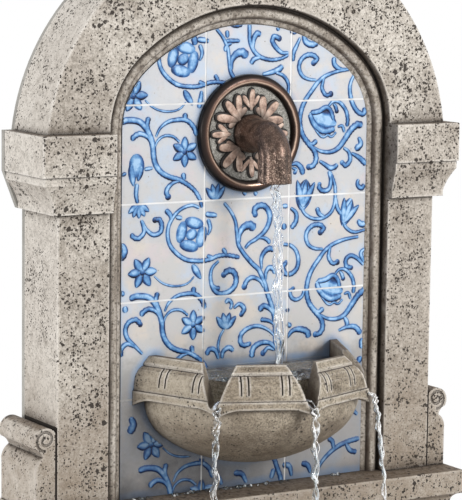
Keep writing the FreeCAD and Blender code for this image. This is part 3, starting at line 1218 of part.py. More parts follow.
def build_supply():
    """Elbow behind the spout, the hose down to the pump, its clamps and its clips on the back panel."""
    elbow = add_body("elbow_barb")
    top = f"({MEDALLION_Z} - dim.tail_radius - dim.nut_height)"
    spigot = "(dim.tail_bore - dim.pin_fit)"
    inlet = f"({TILE} + dim.tile_thickness)"
    bend_radius = "dim.hose_bore"
    route = [(inlet, MEDALLION_Z), (f"({HOSE_Y} - {bend_radius})", MEDALLION_Z),
             (HOSE_Y, f"({MEDALLION_Z} - {bend_radius})"), (HOSE_Y, f"({top} - dim.barb_length)")]
    path = outline(add_sketch(elbow, "YZ"), route, {1: (bend_radius, -1)}, closed=False)
    pipe(elbow, circle(add_sketch(elbow, "XZ", f"-{inlet}"), "0", MEDALLION_Z, spigot), path)
    flange = circle(add_sketch(elbow, "XY", top), "0", HOSE_Y, "dim.hose_radius")
    pad(elbow, flange, "dim.washer_height")
    path = outline(add_sketch(elbow, "YZ"), route, {1: (bend_radius, -1)}, closed=False)
    pipe(elbow, circle(add_sketch(elbow, "XZ", f"-{inlet}"), "0", MEDALLION_Z, "dim.barb_bore"), path,
         cut=True)

    hose_foot = f"({PUMP_FLOOR} + dim.pump_height + dim.outlet_flange)"
    hose_length = f"({top} - {hose_foot})"
    ring("supply_hose", "dim.hose_bore", "dim.hose_radius", hose_length, "0", HOSE_Y, hose_foot)

    clamp_in = "(dim.hose_radius + dim.pin_fit)"
    clamp_out = f"({clamp_in} + dim.clamp_wall)"
    clamps = []
    for level in (f"{hose_foot} + dim.clamp_wall", f"{top} - dim.clamp_wall - dim.clamp_height"):
        band = cut(add_cylinder("0", HOSE_Y, level, clamp_out, "dim.clamp_height"),
                   [add_cylinder("0", HOSE_Y, level, clamp_in, "dim.clamp_height")])
        clamps.append(band)
    group("hose_clamps", clamps)

    clip_in = "(dim.hose_radius + dim.pin_fit)"
    clip_out = "(dim.hose_radius + dim.clip_wall)"
    clips = []
    for index in range(int(number("dim.clip_count"))):
        level = f"{LEDGE} + dim.clip_first + {index} * dim.clip_spacing"
        ear = add_box("-dim.clip_wall", HOSE_Y, level, "2 * dim.clip_wall", f"{SHELL_BACK} - {HOSE_Y}",
                      "dim.clip_height")
        body = fuse([add_cylinder("0", HOSE_Y, level, clip_out, "dim.clip_height"), ear])
        mouth = add_box("-dim.clip_mouth / 2", f"{HOSE_Y} - 2 * {clip_out}", level, "dim.clip_mouth",
                        f"2 * {clip_out} - dim.clip_wall", "dim.clip_height")
        clips.append(cut(body, [add_cylinder("0", HOSE_Y, level, clip_in, "dim.clip_height"), mouth]))
    group("hose_clips", clips)


def build_pump():
    """Small submersible pump on suction cups, its shaft along X and its intake cover at the +X end."""
    length, width, height = "dim.pump_length", "dim.pump_width", "dim.pump_height"
    low_x = f"({PUMP_END} - {length})"
    low_y = f"({HOSE_Y} - {width} / 2)"
    block = add_box(low_x, low_y, PUMP_FLOOR, length, width, height)
    chamber = add_cylinder(f"{PUMP_END} - dim.chamber_depth", HOSE_Y, PUMP_AXIS_Z, "dim.chamber_radius",
                           "2 * dim.chamber_depth", "+X")
    rotor_x = f"({PUMP_END} - dim.chamber_depth - dim.rotor_depth)"
    bore = add_cylinder(rotor_x, HOSE_Y, PUMP_AXIS_Z, "dim.rotor_bore", "2 * dim.rotor_depth", "+X")
    bush_hole = add_cylinder(f"{rotor_x} - dim.bush_length", HOSE_Y, PUMP_AXIS_Z,
                             "dim.bush_radius + dim.pin_fit",
                             "2 * dim.bush_length", "+X")
    outlet_hole = add_cylinder("0", HOSE_Y, PUMP_AXIS_Z, "dim.barb_bore", height)
    keep("pump_housing", cut(block, [chamber, bore, bush_hole, outlet_hole], "pump_housing"))

    flange_z = f"({PUMP_FLOOR} + {height})"
    profile = [("dim.barb_bore", "0"), ("dim.outlet_radius", "0"),
               ("dim.outlet_radius", "dim.outlet_flange"),
               ("(dim.hose_bore - dim.pin_fit)", "dim.outlet_flange"),
               ("(dim.hose_bore - dim.pin_fit)", "(dim.outlet_flange + dim.barb_length)"),
               ("dim.barb_bore", "(dim.outlet_flange + dim.barb_length)")]
    turned("pump_outlet", profile, "0", HOSE_Y, flange_z, "+Z")

    cover_x = PUMP_END
    shell = add_box(cover_x, low_y, PUMP_FLOOR, "dim.cover_depth", width, height)
    room = add_box(cover_x, f"{low_y} + dim.cover_wall", f"{PUMP_FLOOR} + dim.cover_wall",
                   "dim.cover_depth - dim.cover_wall", f"{width} - 2 * dim.cover_wall",
                   f"{height} - 2 * dim.cover_wall")
    holder = add_cylinder(cover_x, HOSE_Y, PUMP_AXIS_Z, "dim.bush_radius + dim.cover_wall",
                          "dim.cover_depth", "+X")
    slots = []
    count = int(number("dim.cover_slots"))
    for index in range(count):
        share = f"({width} - 4 * dim.cover_wall) / {count - 1} * {index}"
        slots.append(add_box(cover_x, f"{low_y} + 2 * dim.cover_wall + {share} - dim.cover_wall / 2",
                             f"{PUMP_FLOOR} + {height} - 5 * dim.cover_wall", "2 * dim.cover_depth",
                             "dim.cover_wall", "3 * dim.cover_wall"))
    cover = fuse([cut(shell, [room]), holder])
    seat = add_cylinder(cover_x, HOSE_Y, PUMP_AXIS_Z, "dim.bush_radius + dim.pin_fit", "dim.bush_length",
                        "+X")
    spindle_hole = add_cylinder(cover_x, HOSE_Y, PUMP_AXIS_Z, "dim.shaft_radius + dim.pin_fit",
                                "2 * dim.cover_depth", "+X")
    keep("intake_cover", cut(cover, slots + [seat, spindle_hole], "intake_cover"))

    dial_x = f"({cover_x} + dim.cover_depth + dim.seat_gap)"
    knob = add_cylinder(dial_x, HOSE_Y, PUMP_AXIS_Z, "dim.dial_radius", "dim.dial_height", "+X")
    grip = add_box(f"{dial_x} + dim.dial_height", f"{HOSE_Y} - dim.shaft_radius / 2",
                   f"{PUMP_AXIS_Z} - dim.dial_radius", "dim.shaft_radius", "dim.shaft_radius",
                   "2 * dim.dial_radius")
    stem = add_cylinder(f"{cover_x} + dim.bush_length + dim.seat_gap", HOSE_Y, PUMP_AXIS_Z,
                        "dim.shaft_radius",
                        "dim.cover_depth - dim.bush_length", "+X")
    keep("flow_dial", fuse([knob, grip, stem], "flow_dial"))

    # Rotor: magnet behind, hub and blades in the chamber, running on the fixed shaft
    gap = "dim.rotor_gap"
    shaft_bore = "(dim.shaft_radius + dim.pin_fit)"
    magnet = add_cylinder(f"{rotor_x} + {gap}", HOSE_Y, PUMP_AXIS_Z, f"dim.rotor_bore - {gap}",
                          "dim.rotor_depth", "+X")
    hub = add_cylinder(f"{rotor_x} + {gap}", HOSE_Y, PUMP_AXIS_Z, "dim.bush_radius",
                       f"dim.rotor_depth + dim.chamber_depth - 2 * {gap}", "+X")
    blades = []
    count = int(number("dim.blade_count"))
    for index in range(count):
        blade = add_box(f"{PUMP_END} - dim.chamber_depth + {gap}", HOSE_Y, PUMP_AXIS_Z,
                        f"dim.chamber_depth - 2 * {gap}", "dim.blade_thickness", "dim.blade_radius")
        blades.append(place(blade, f"{PUMP_END} - dim.chamber_depth + {gap}", HOSE_Y, PUMP_AXIS_Z,
                            (1, 0, 0),
                            360 * index / count))
    through = add_cylinder(rotor_x, HOSE_Y, PUMP_AXIS_Z, shaft_bore, "2 * dim.rotor_depth", "+X")
    keep("impeller", cut(fuse([magnet, hub] + blades), [through], "impeller"))

    spindle = "2 * dim.bush_length + dim.rotor_depth + dim.chamber_depth - dim.seat_gap"
    keep("impeller_shaft", add_cylinder(f"{rotor_x} - dim.bush_length", HOSE_Y, PUMP_AXIS_Z,
                                        "dim.shaft_radius", spindle, "+X", "impeller_shaft"))
    for name, bush_x in (("rear_bush", f"{rotor_x} - dim.bush_length"), ("front_bush", PUMP_END)):
        solid = add_cylinder(bush_x, HOSE_Y, PUMP_AXIS_Z, "dim.bush_radius", "dim.bush_length", "+X")
        bore = add_cylinder(bush_x, HOSE_Y, PUMP_AXIS_Z, shaft_bore, "dim.bush_length", "+X")
        keep(name, cut(solid, [bore], name))

    cups = []
    for across in (f"{low_x} + 2 * dim.cup_radius", f"{PUMP_END} - dim.cup_radius"):
        for deep in (f"{low_y} + dim.cup_radius", f"{low_y} + {width} - dim.cup_radius"):
            cups.append(add_cylinder(across, deep, "dim.well_floor", "dim.cup_radius", "dim.cup_height"))
    group("suction_cups", cups)


# Rear door, feet and fasteners


def build_door():
    body = add_body("access_door")
    free = "(dim.door_half - dim.door_gap)"
    inner = f"({BACK} - dim.door_thickness)"
    rounding = "(dim.door_thickness / 2)"
    corners = [(HINGE_X, inner), (free, inner), (free, BACK), (HINGE_X, BACK),
               (f"({HINGE_X} - {rounding})", HINGE_Y)]
    bottom, top = "(dim.door_bottom + dim.door_gap)", "(dim.door_top - dim.door_gap)"
    plan = outline(add_sketch(body, "XY", bottom), corners, {3: (rounding, 1), 4: (rounding, 1)})
    pad(body, plan, f"{top} - {bottom}")
    for level, upwards in ((bottom, True), (top, False)):
        hole = circle(add_sketch(body, "XY", level), HINGE_X, HINGE_Y,
                      "dim.hinge_pin_radius + dim.pin_fit")
        pocket(body, hole, "dim.hinge_pin_half", upwards)
    middle = "((dim.door_bottom + dim.door_top) / 2)"
    finger = circle(add_sketch(body, "XZ", f"-{BACK}"), "dim.door_half - dim.finger_set", middle,
                    "dim.finger_radius")
    pocket(body, finger, "2 * dim.door_thickness")
    seat = circle(add_sketch(body, "XZ", f"-{inner}"), "dim.door_half - dim.catch_set", middle,
                  "dim.magnet_radius + dim.pin_fit")
    pocket(body, seat, "dim.plate_thickness", False)

    pins = []
    for level in ("dim.door_top", "dim.door_bottom"):
        pins.append(add_cylinder(HINGE_X, HINGE_Y, f"{level} - dim.hinge_pin_half + dim.door_gap",
                                 "dim.hinge_pin_radius", "2 * dim.hinge_pin_half - 2 * dim.door_gap"))
    group("hinge_pins", pins)
    catch_x = "dim.door_half - dim.catch_set"
    keep("catch_plate", add_cylinder(catch_x, inner, middle, "dim.magnet_radius", "dim.plate_thickness",
                                     "+Y",
                                     "catch_plate"))
    lip = "(dim.shell_wall - dim.door_thickness - dim.seat_gap)"
    keep("catch_magnet", add_cylinder(catch_x, f"{BACK} - dim.shell_wall", middle, "dim.magnet_radius",
                                      lip, "+Y",
                                      "catch_magnet"))


def build_grommet():
    """Rubber ring where a lead leaves the plinth."""
    neck = "(dim.grommet_hole - dim.pin_fit)"
    flange = "dim.grommet_flange"
    thick = "(dim.grommet_flange - dim.grommet_hole)"
    profile = [("dim.grommet_bore", "0"), (neck, "0"), (neck, "dim.shell_wall"),
               (flange, "dim.shell_wall"),
               (flange, f"(dim.shell_wall + {thick})"),
               ("dim.grommet_bore", f"(dim.shell_wall + {thick})")]
    turned("cord_grommet", profile, "dim.grommet_x", BACK, "dim.grommet_z", "-Y")


def build_feet():
    """Rubber feet under the plinth's side walls and under the basin."""
    wall = "(dim.base_half - (dim.base_step + dim.shell_wall) / 2)"
    front_half = "(dim.basin_front_half - dim.basin_foot_inset - dim.foot_radius)"
    spots = [(wall, f"{BACK} - 3 * dim.foot_radius"), (wall, f"{BODY_FRONT} + 2 * dim.foot_radius"),
             (front_half, "-dim.overall_depth / 2 + dim.basin_foot_inset + 2 * dim.foot_radius")]
    feet = []
    for x, y in spots:
        for sign in ("", "-"):
            feet.append(add_cylinder(f"{sign}{x}", y, "0", "dim.foot_radius", "dim.foot_height"))
    group("rubber_feet", feet)


def build_screws():
    screws = []
    for x, z in screw_points():
        head = add_cylinder(x, BACK, z, "dim.screw_head", "dim.screw_radius", "-Y")
        shank = add_cylinder(x, BACK, z, "dim.screw_radius", "dim.screw_length", "-Y")
        screws.append(fuse([head, shank]))
    group("panel_screws", screws)


build_plinth()
build_basin()
for suffix, side in (("left", -1), ("right", 1)):
    build_pilaster("pilaster_" + suffix, side)
    build_capital("capital_" + suffix, side)
    build_scroll("scroll_" + suffix, side)
build_arch()
build_frame()
build_back_panel()
build_bed()
build_tiles()
build_medallion()
build_leaves()
build_spout()
build_spout_fixings()
build_bowl()
build_bowl_bolts()
build_drain()
build_supply()
build_pump()
build_door()
build_grommet()
build_feet()
build_screws()
doc.recompute()

# Every object must have recomputed, and every piece must be sound, before anything is written
for item in doc.Objects:
    if "Invalid" in item.State or "Error" in item.State:
        raise RuntimeError("%s failed: %s" % (item.Label, item.State))
for name, item in nodes.items():
    item.Label = name
    if item.Shape.isNull() or not item.Shape.isValid():
        raise RuntimeError("%s has no sound shape" % name)
os.makedirs("parts", exist_ok=True)
for name, item in nodes.items():
    item.Shape.exportStep("parts/%s.step" % name)
    box = item.Shape.BoundBox
    print("%-16s solids %2d volume %10.0f  x %7.1f %7.1f  y %7.1f %7.1f  z %7.1f %7.1f" % (
        name, len(item.Shape.Solids), item.Shape.Volume, box.XMin, box.XMax, box.YMin, box.YMax, box.ZMin,
        box.ZMax))
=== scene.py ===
import json
import math
import random

import bmesh
import bpy
from mathutils import Matrix, Vector


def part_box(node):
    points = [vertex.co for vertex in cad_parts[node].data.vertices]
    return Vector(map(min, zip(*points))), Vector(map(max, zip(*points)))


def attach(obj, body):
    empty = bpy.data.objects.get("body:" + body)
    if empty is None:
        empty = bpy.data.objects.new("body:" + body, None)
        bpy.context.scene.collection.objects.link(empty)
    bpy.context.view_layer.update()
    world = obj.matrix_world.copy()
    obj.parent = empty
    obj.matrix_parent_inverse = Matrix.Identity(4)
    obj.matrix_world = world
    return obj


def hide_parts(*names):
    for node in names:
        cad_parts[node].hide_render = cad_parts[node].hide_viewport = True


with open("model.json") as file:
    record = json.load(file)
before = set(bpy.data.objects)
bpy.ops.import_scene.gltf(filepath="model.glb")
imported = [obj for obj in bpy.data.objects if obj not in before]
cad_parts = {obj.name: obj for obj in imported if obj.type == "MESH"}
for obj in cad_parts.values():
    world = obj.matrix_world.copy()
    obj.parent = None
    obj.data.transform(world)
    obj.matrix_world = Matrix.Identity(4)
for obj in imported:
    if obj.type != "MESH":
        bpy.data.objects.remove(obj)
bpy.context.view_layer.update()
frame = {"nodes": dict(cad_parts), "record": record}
nodes = frame["nodes"]
draw = random.Random(11)

# Places in metres, taken from the frame where a piece gives them
MM = 0.001
TILE_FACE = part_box("wall_tiles")[0][1]
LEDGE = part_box("wall_tiles")[0][2]
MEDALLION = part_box("medallion")
MEDALLION_Z = (MEDALLION[0][2] + MEDALLION[1][2]) / 2
SPRING = LEDGE + 0.377
BRACKET_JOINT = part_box("pilaster_right")[1][0]
BRACKET_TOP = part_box("scroll_right")[1][2]
BOWL_WATER = LEDGE + 0.130
POOL_WATER = 0.120

# Shades that several finishes share, as 0 to 255
WHITE = (255, 255, 255)
BRONZE_SHADOW = (26, 20, 18)


# Procedural materials


def srgb(red, green, blue):
    """A colour given as 0 to 255, turned into the linear colour that shaders take."""
    linear = [value / 255 / 12.92 if value <= 10 else ((value / 255 + 0.055) / 1.055) ** 2.4
              for value in (red, green, blue)]
    return (*linear, 1.0)


class Finish:
    """A material whose colour is laid on coat by coat, from texture nodes in world metres."""

    def __init__(self, name, base=WHITE, **constants):
        self.material = bpy.data.materials.new(name)
        self.material.use_nodes = True
        self.tree = self.material.node_tree
        self.shader = self.tree.nodes["Principled BSDF"]
        self.place = self.add("ShaderNodeTexCoord").outputs["Object"]
        self.colour = srgb(*base)
        for socket, value in constants.items():
            self.shader.inputs[socket.replace("_", " ")].default_value = value

    def add(self, kind, inputs=None, **settings):
        node = self.tree.nodes.new(kind)
        for key, value in settings.items():
            setattr(node, key, value)
        for key, value in (inputs or {}).items():
            self.feed(node.inputs[key], value)
        return node

    def feed(self, socket, value):
        if isinstance(value, bpy.types.NodeSocket):
            self.tree.links.new(value, socket)
        else:
            socket.default_value = value

    def math(self, operation, first, second=0.0):
        return self.add("ShaderNodeMath", {0: first, 1: second}, operation=operation).outputs[0]

    def product(self, first, *others):
        for other in others:
            first = self.math("MULTIPLY", first, other)
        return first

    def vector(self, operation, first, second=(0.0, 0.0, 0.0)):
        """Outputs of a vector operation: the vector, and the number under the name Value."""
        return self.add("ShaderNodeVectorMath", {0: first, 1: second}, operation=operation).outputs

    def span(self, value, low, high, start=0.0, end=1.0):
        """A smooth step from start to end as value goes from low to high."""
        inputs = {0: value, 1: low, 2: high, 3: start, 4: end}
        return self.add("ShaderNodeMapRange", inputs, interpolation_type="SMOOTHSTEP").outputs[0]

    def spread(self, noise, start=0.0, end=1.0):
        """A smooth step over the range that noise mostly keeps to."""
        return self.span(noise, 0.3, 0.7, start, end)

    def rise(self, low, high, start=0.0, end=1.0):
        """A smooth step from one height to another."""
        return self.span(self.axis("Z"), low, high, start, end)

    def axes(self, vector=None):
        """The three parts of a vector, or of the place in world metres."""
        return self.add("ShaderNodeSeparateXYZ", {0: vector or self.place}).outputs

    def axis(self, letter):
        return self.axes()["XYZ".index(letter)]

    def facing(self):
        return self.add("ShaderNodeNewGeometry").outputs["Normal"]

    def tone(self):
        """The darkness that a Relief gives to each of its points."""
        return self.add("ShaderNodeAttribute", attribute_name="tone").outputs["Fac"]

    def mapped(self, **settings):
        """World coordinates moved by a Location or stretched by a Scale."""
        return self.add("ShaderNodeMapping", {"Vector": self.place, **settings}).outputs[0]

    def noise(self, scale, detail=4.0, roughness=0.55, vector=None, distortion=0.0):
        inputs = {"Vector": vector or self.place, "Scale": scale, "Detail": detail, "Roughness": roughness,
                  "Distortion": distortion}
        return self.add("ShaderNodeTexNoise", inputs).outputs[0]

    def warped(self, scale, amount):
        """World coordinates pushed about by noise, so that cells get ragged edges."""
        inputs = {"Vector": self.place, "Scale": scale, "Detail": 2.0}
        push = self.add("ShaderNodeTexNoise", inputs).outputs[1]
        inputs = {0: self.vector("SUBTRACT", push, (0.5, 0.5, 0.5))[0], "Scale": amount}
        scaled = self.add("ShaderNodeVectorMath", inputs, operation="SCALE").outputs[0]
        return self.vector("ADD", self.place, scaled)[0]

    def cells(self, scale, vector=None):
        inputs = {"Vector": vector or self.place, "Scale": scale}
        return self.add("ShaderNodeTexVoronoi", inputs, feature="F1").outputs

    def pits(self, scale, vector, size):
        """Ragged spots, one to a cell, each a random share of the given size."""
        cells = self.cells(scale, vector)
        share = self.add("ShaderNodeSeparateColor", {0: cells["Color"]}).outputs[0]
        return self.math("LESS_THAN", cells["Distance"], self.product(self.math("POWER", share, 1.4), size))

    def inward(self):
        """1 on faces that look towards the middle of the tiled panel, as in the reveals round it."""
        x, _, z = self.axes()
        drop = self.math("MINIMUM", self.math("SUBTRACT", SPRING, z), 0.0)
        towards = self.add("ShaderNodeCombineXYZ", {0: self.product(x, -1.0), 2: drop}).outputs[0]
        match = self.vector("DOT_PRODUCT", self.vector("NORMALIZE", towards)[0], self.facing())["Value"]
        return self.span(match, 0.35, 0.85)

    def from_medallion(self):
        """Distance from the medallion's axis."""
        moved = self.vector("ADD", self.place, (0.0, 0.0, -MEDALLION_Z))[0]
        flat = self.vector("MULTIPLY", moved, (1.0, 0.0, 1.0))[0]
        return self.vector("LENGTH", flat)["Value"]

    def hollow(self, distance, rim, depth, strength=1.0):
        """0 in the open, rising to the strength in hollows as the open share falls from rim to depth."""
        node = self.add("ShaderNodeAmbientOcclusion", {"Distance": distance}, samples=6)
        return self.span(node.outputs["AO"], rim, depth, 0.0, strength)

    def rounded(self, radius):
        """Normal rounded at edges."""
        return self.add("ShaderNodeBevel", {"Radius": radius}, samples=4).outputs[0]

    def arrises(self, radius):
        """1 along edges, 0 on flat faces."""
        match = self.vector("DOT_PRODUCT", self.rounded(radius), self.facing())["Value"]
        return self.span(match, 0.99, 0.90)

    def mix(self, share, first, second, blend="MIX"):
        node = self.add("ShaderNodeMix", {0: share, 6: first, 7: second}, data_type="RGBA", blend_type=blend)
        return node.outputs[2]

    def ramp(self, value, stops):
        """Colours along a value, from a table of position and colour."""
        node = self.add("ShaderNodeValToRGB", {0: value})
        elements = node.color_ramp.elements
        while len(elements) < len(stops):
            elements.new(0.5)
        for element, (position, colour) in zip(elements, stops.items()):
            element.position = position
            element.color = srgb(*colour)
        return node.outputs[0]

    def coat(self, tint, *shares):
        """Lay a tint over the colour so far, as strong as the product of the shares."""
        self.colour = self.mix(self.product(*shares), self.colour, srgb(*tint))

    def shade(self, strength, value, stops):
        """Multiply the colour so far by a ramp."""
        self.colour = self.mix(strength, self.colour, self.ramp(value, stops), "MULTIPLY")

    def finish(self, roughness, heights=(), normal=None, metallic=None):
        """Wire the shader. heights is a list of (height, strength, distance in metres)."""
        self.feed(self.shader.inputs["Base Color"], self.colour)
        self.feed(self.shader.inputs["Roughness"], roughness)
        if metallic is not None:
            self.feed(self.shader.inputs["Metallic"], metallic)
        for height, strength, distance in heights:
            inputs = {"Height": height, "Strength": strength, "Distance": distance}
            if normal is not None:
                inputs["Normal"] = normal
            normal = self.add("ShaderNodeBump", inputs).outputs[0]
        if normal is not None:
            self.feed(self.shader.inputs["Normal"], normal)
        return self.material


def bracket_joint(f):
    """1 along the open joint between each pilaster and the scroll bracket beside it."""
    joint_middle, joint_half = BRACKET_JOINT + 0.0005, 0.0011
    x, _, z = f.axes()
    aside = f.math("ABSOLUTE", f.math("SUBTRACT", f.math("ABSOLUTE", x), joint_middle))
    beside = f.product(f.math("GREATER_THAN", z, LEDGE), f.math("LESS_THAN", z, BRACKET_TOP))
    return f.product(f.math("LESS_THAN", aside, joint_half), beside)


def stone(name, base, light, stain, pits, damp, sand):
    """Cast stone with travertine pits in clusters, mottling, worn arrises with a painted highlight and umber
    with painted shade in its hollows.
    """
    f = Finish(name, base)
    flipped = f.mapped(Scale=(-1.0, 1.0, 1.0))
    f.coat(light, f.span(f.noise(9, 5, 0.6, flipped), 0.36, 0.66))
    f.coat(stain, f.span(f.noise(34, 6, 0.65, flipped), 0.48, 0.72, 0.0, 0.6 + 0.3 * damp))
    blotch = f.noise(130, 6, 0.75)
    f.shade(1.0, blotch, {0.3: (196, 194, 190), 0.55: (246, 246, 245), 0.75: WHITE})
    grain = f.noise(520, 3, 0.7)
    f.shade(sand, grain, {0.34: (158, 154, 148), 0.6: WHITE})
    # Painted light on the side faces, worn arrises with a painted highlight, a brown wash towards the ledge,
    # painted shade on faces that look down and dirt on level tops
    across, _, up = f.axes(f.facing())
    side = f.span(f.math("ABSOLUTE", across), 0.4, 0.75)
    f.coat(light, side, f.span(blotch, 0.3, 0.6, 0.2, 0.55))
    f.coat((238, 232, 224), f.arrises(0.0045), f.span(f.noise(60, 4), 0.3, 0.6, 0.35, 1.0))
    low = f.rise(LEDGE + 0.22, LEDGE - 0.01, 0.0, 0.6 * (1 - damp))
    f.coat((140, 122, 101), low, f.span(f.noise(20, 5, 0.7), 0.3, 0.65, 0.5, 1.0))
    f.coat((112, 99, 86), f.span(up, -0.1, -0.6, 0.0, 0.5), f.span(blotch, 0.3, 0.6, 1.0, 0.6))
    f.coat((82, 64, 44), f.span(up, 0.75, 0.95), f.span(blotch, 0.3, 0.6, 0.9, 0.6))
    # Fine pits in clusters, and wide ones in patches that leave the side faces nearly bare
    ragged = f.warped(420, 0.0038)
    cluster = f.span(f.noise(24, 3, 0.6, flipped), 0.38, 0.64, 0.36 * pits, 0.72 * pits)
    fine = f.pits(400, ragged, f.product(cluster, f.span(side, 0.0, 1.0, 1.0, 0.88)))
    patch = f.span(f.noise(17, 3, 0.6, flipped), 0.42, 0.62, 0.08 * pits, 0.46 * pits)
    wide = f.pits(150, ragged, f.product(patch, f.span(side, 0.0, 1.0, 1.0, 0.3)))
    hole = f.math("MAXIMUM", wide, fine)
    f.coat((40, 32, 26), hole, 0.95)
    # Umber wash with painted shade in hollows, reveals, creases and crevices, and the dark open joints beside
    # the brackets
    streak = f.spread(f.noise(40, 5, 0.7), 0.5, 1.0)
    f.coat((78, 64, 52), f.hollow(0.03, 0.80, 0.42, 0.8), streak)
    f.coat((66, 53, 42), f.inward(), streak, 0.85)
    f.coat((66, 54, 42), f.hollow(0.012, 0.90, 0.55, 0.7), streak)
    crevice = f.hollow(0.005, 0.86, 0.48, 0.95)
    f.coat((36, 28, 22), f.math("MAXIMUM", crevice, bracket_joint(f)))
    roughness = f.spread(f.noise(45, 4), 0.92 - 0.5 * damp, 0.78 - 0.3 * damp)
    heights = [(grain, 0.3, 0.0007), (f.math("SUBTRACT", 1.0, hole), 0.8, 0.0016)]
    return f.finish(roughness, heights, f.rounded(0.002))


def frame_stone():
    """The moulding: dark wash streaked along its length, rubbed pale on the bead, with umber and painted
    shade in its reveals and hollows.
    """
    f = Finish("frame_stone")
    upright = f.noise(90, 5, 0.7, f.mapped(Scale=(1.0, 1.0, 0.14)), 0.6)
    curved = f.noise(90, 5, 0.7)
    streak = f.mix(f.rise(LEDGE + 0.36, LEDGE + 0.40), upright, curved)
    speck = f.pits(300, f.warped(300, 0.003), 0.5)
    f.colour = f.ramp(streak, {0.30: (106, 94, 84), 0.45: (170, 160, 148), 0.60: (208, 200, 190),
                               0.78: (224, 218, 210)})
    f.shade(0.7, f.noise(330, 4, 0.8), {0.36: (128, 122, 114), 0.58: WHITE})
    f.coat((56, 47, 40), speck, 0.6)
    # Umber wash with painted shade on the reveals and in the hollows
    f.coat((72, 58, 46), f.inward(), f.span(streak, 0.35, 0.65, 0.97, 0.68))
    f.coat((58, 48, 40), f.hollow(0.014, 0.80, 0.45, 0.85))
    return f.finish(f.spread(curved, 0.6, 0.85), [(speck, 0.3, 0.0006), (curved, 0.25, 0.001)])


def tide(f):
    """Grime splashed along the waterline of the bowl, ragged above and fading out below."""
    splash = f.math("ADD", f.axis("Z"), f.span(f.noise(22, 5, 0.7), 0.2, 0.8, -0.018, 0.018))
    above = f.span(splash, BOWL_WATER + 0.024, BOWL_WATER - 0.002)
    return f.product(above, f.span(splash, BOWL_WATER - 0.07, BOWL_WATER - 0.02, 0.3, 1.0))


def glaze():
    """Old white tin glaze with faint washes of cream, blue and pink, grime round the waterline, and painted
    shade in corners and under the bowl.
    """
    f = Finish("tile_glaze", (202, 204, 208), Coat_Weight=0.25, Coat_Roughness=0.12)
    f.coat((197, 194, 190), f.rise(LEDGE + 0.22, LEDGE + 0.42, 1.0, 0.0), 0.6)
    f.coat((220, 209, 197), f.span(f.noise(26, 4, 0.6), 0.48, 0.66, 0.0, 0.6))
    blue_side, pink_side = f.mapped(Location=(0.7, 0.2, 0.4)), f.mapped(Location=(-0.3, 0.6, 0.9))
    f.coat((186, 204, 226), f.span(f.noise(21, 4, 0.6, blue_side), 0.5, 0.68, 0.0, 0.7))
    f.coat((214, 200, 204), f.span(f.noise(30, 4, 0.6, pink_side), 0.54, 0.7, 0.0, 0.5))
    crazed = f.span(f.noise(180, 5, 0.75), 0.54, 0.7, 0.0, 0.35)
    f.coat((176, 172, 166), crazed)
    f.coat((120, 104, 88), f.math("LESS_THAN", f.cells(70)["Distance"], 0.045), 0.8)
    sweep = f.noise(70, 5, 0.7, f.mapped(Scale=(0.35, 1.0, 1.0)), 0.8)
    f.coat((190, 194, 202), f.span(sweep, 0.52, 0.72, 0.0, 0.4))
    # Greyer towards the ledge: damp, with painted shade under the bowl
    f.coat((138, 136, 136), f.rise(LEDGE + 0.15, LEDGE + 0.06, 0.0, 0.55))
    f.coat((104, 102, 100), tide(f), 0.4)
    # Blue bled round the strokes with painted shade beside them, painted shade in corners, and the painted
    # shadow of the bowl on the wall below it, darkest to its left
    f.coat((128, 166, 210), f.hollow(0.009, 0.98, 0.72), f.spread(f.noise(60, 4), 0.5, 1.0))
    f.coat((98, 104, 116), f.hollow(0.02, 0.86, 0.45, 0.6))
    f.coat((62, 62, 66), f.hollow(0.12, 0.88, 0.5), f.span(f.noise(30, 5, 0.7), 0.25, 0.7, 0.6, 1.0),
           f.rise(BOWL_WATER + 0.02, BOWL_WATER - 0.03),
           f.span(f.axis("X"), 0.08, -0.08, 0.35, 1.0))
    roughness = f.spread(f.noise(24, 4), 0.28, 0.45)
    return f.finish(roughness, [(f.noise(35, 3), 0.25, 0.0015), (crazed, 0.15, 0.0004)])


def paint():
    """Cobalt brushwork: pale where the brush ran thin, painted shade along the lower right edge and painted
    light along the upper left.
    """
    f = Finish("cobalt_paint", Specular_IOR_Level=0.35)
    brush = f.spread(f.noise(230, 4, 0.6), -0.07, 0.07)
    pool = f.spread(f.noise(75, 3, 0.6), -0.22, 0.2)
    f.colour = f.ramp(f.math("ADD", f.math("ADD", f.tone(), brush), pool),
                      {0.0: (168, 204, 238), 0.2: (112, 162, 212), 0.42: (64, 116, 176), 0.62: (32, 74, 130),
                       0.85: (12, 32, 72), 1.0: (6, 14, 38)})
    # Darker below the waterline: painted shade under the bowl
    f.coat((22, 42, 80), f.rise(BOWL_WATER, BOWL_WATER - 0.06, 0.0, 0.5))
    return f.finish(f.span(brush, -0.07, 0.07, 0.3, 0.44), [(brush, 0.2, 0.0006)])


def grout():
    f = Finish("white_grout", (240, 240, 240))
    sand = f.noise(900, 3, 0.7)
    f.coat((206, 206, 206), f.span(f.noise(30, 4), 0.4, 0.7, 0.0, 0.6))
    f.coat((100, 97, 94), tide(f), 0.8)
    return f.finish(f.spread(sand, 0.7, 0.9), [(sand, 0.3, 0.0004)])


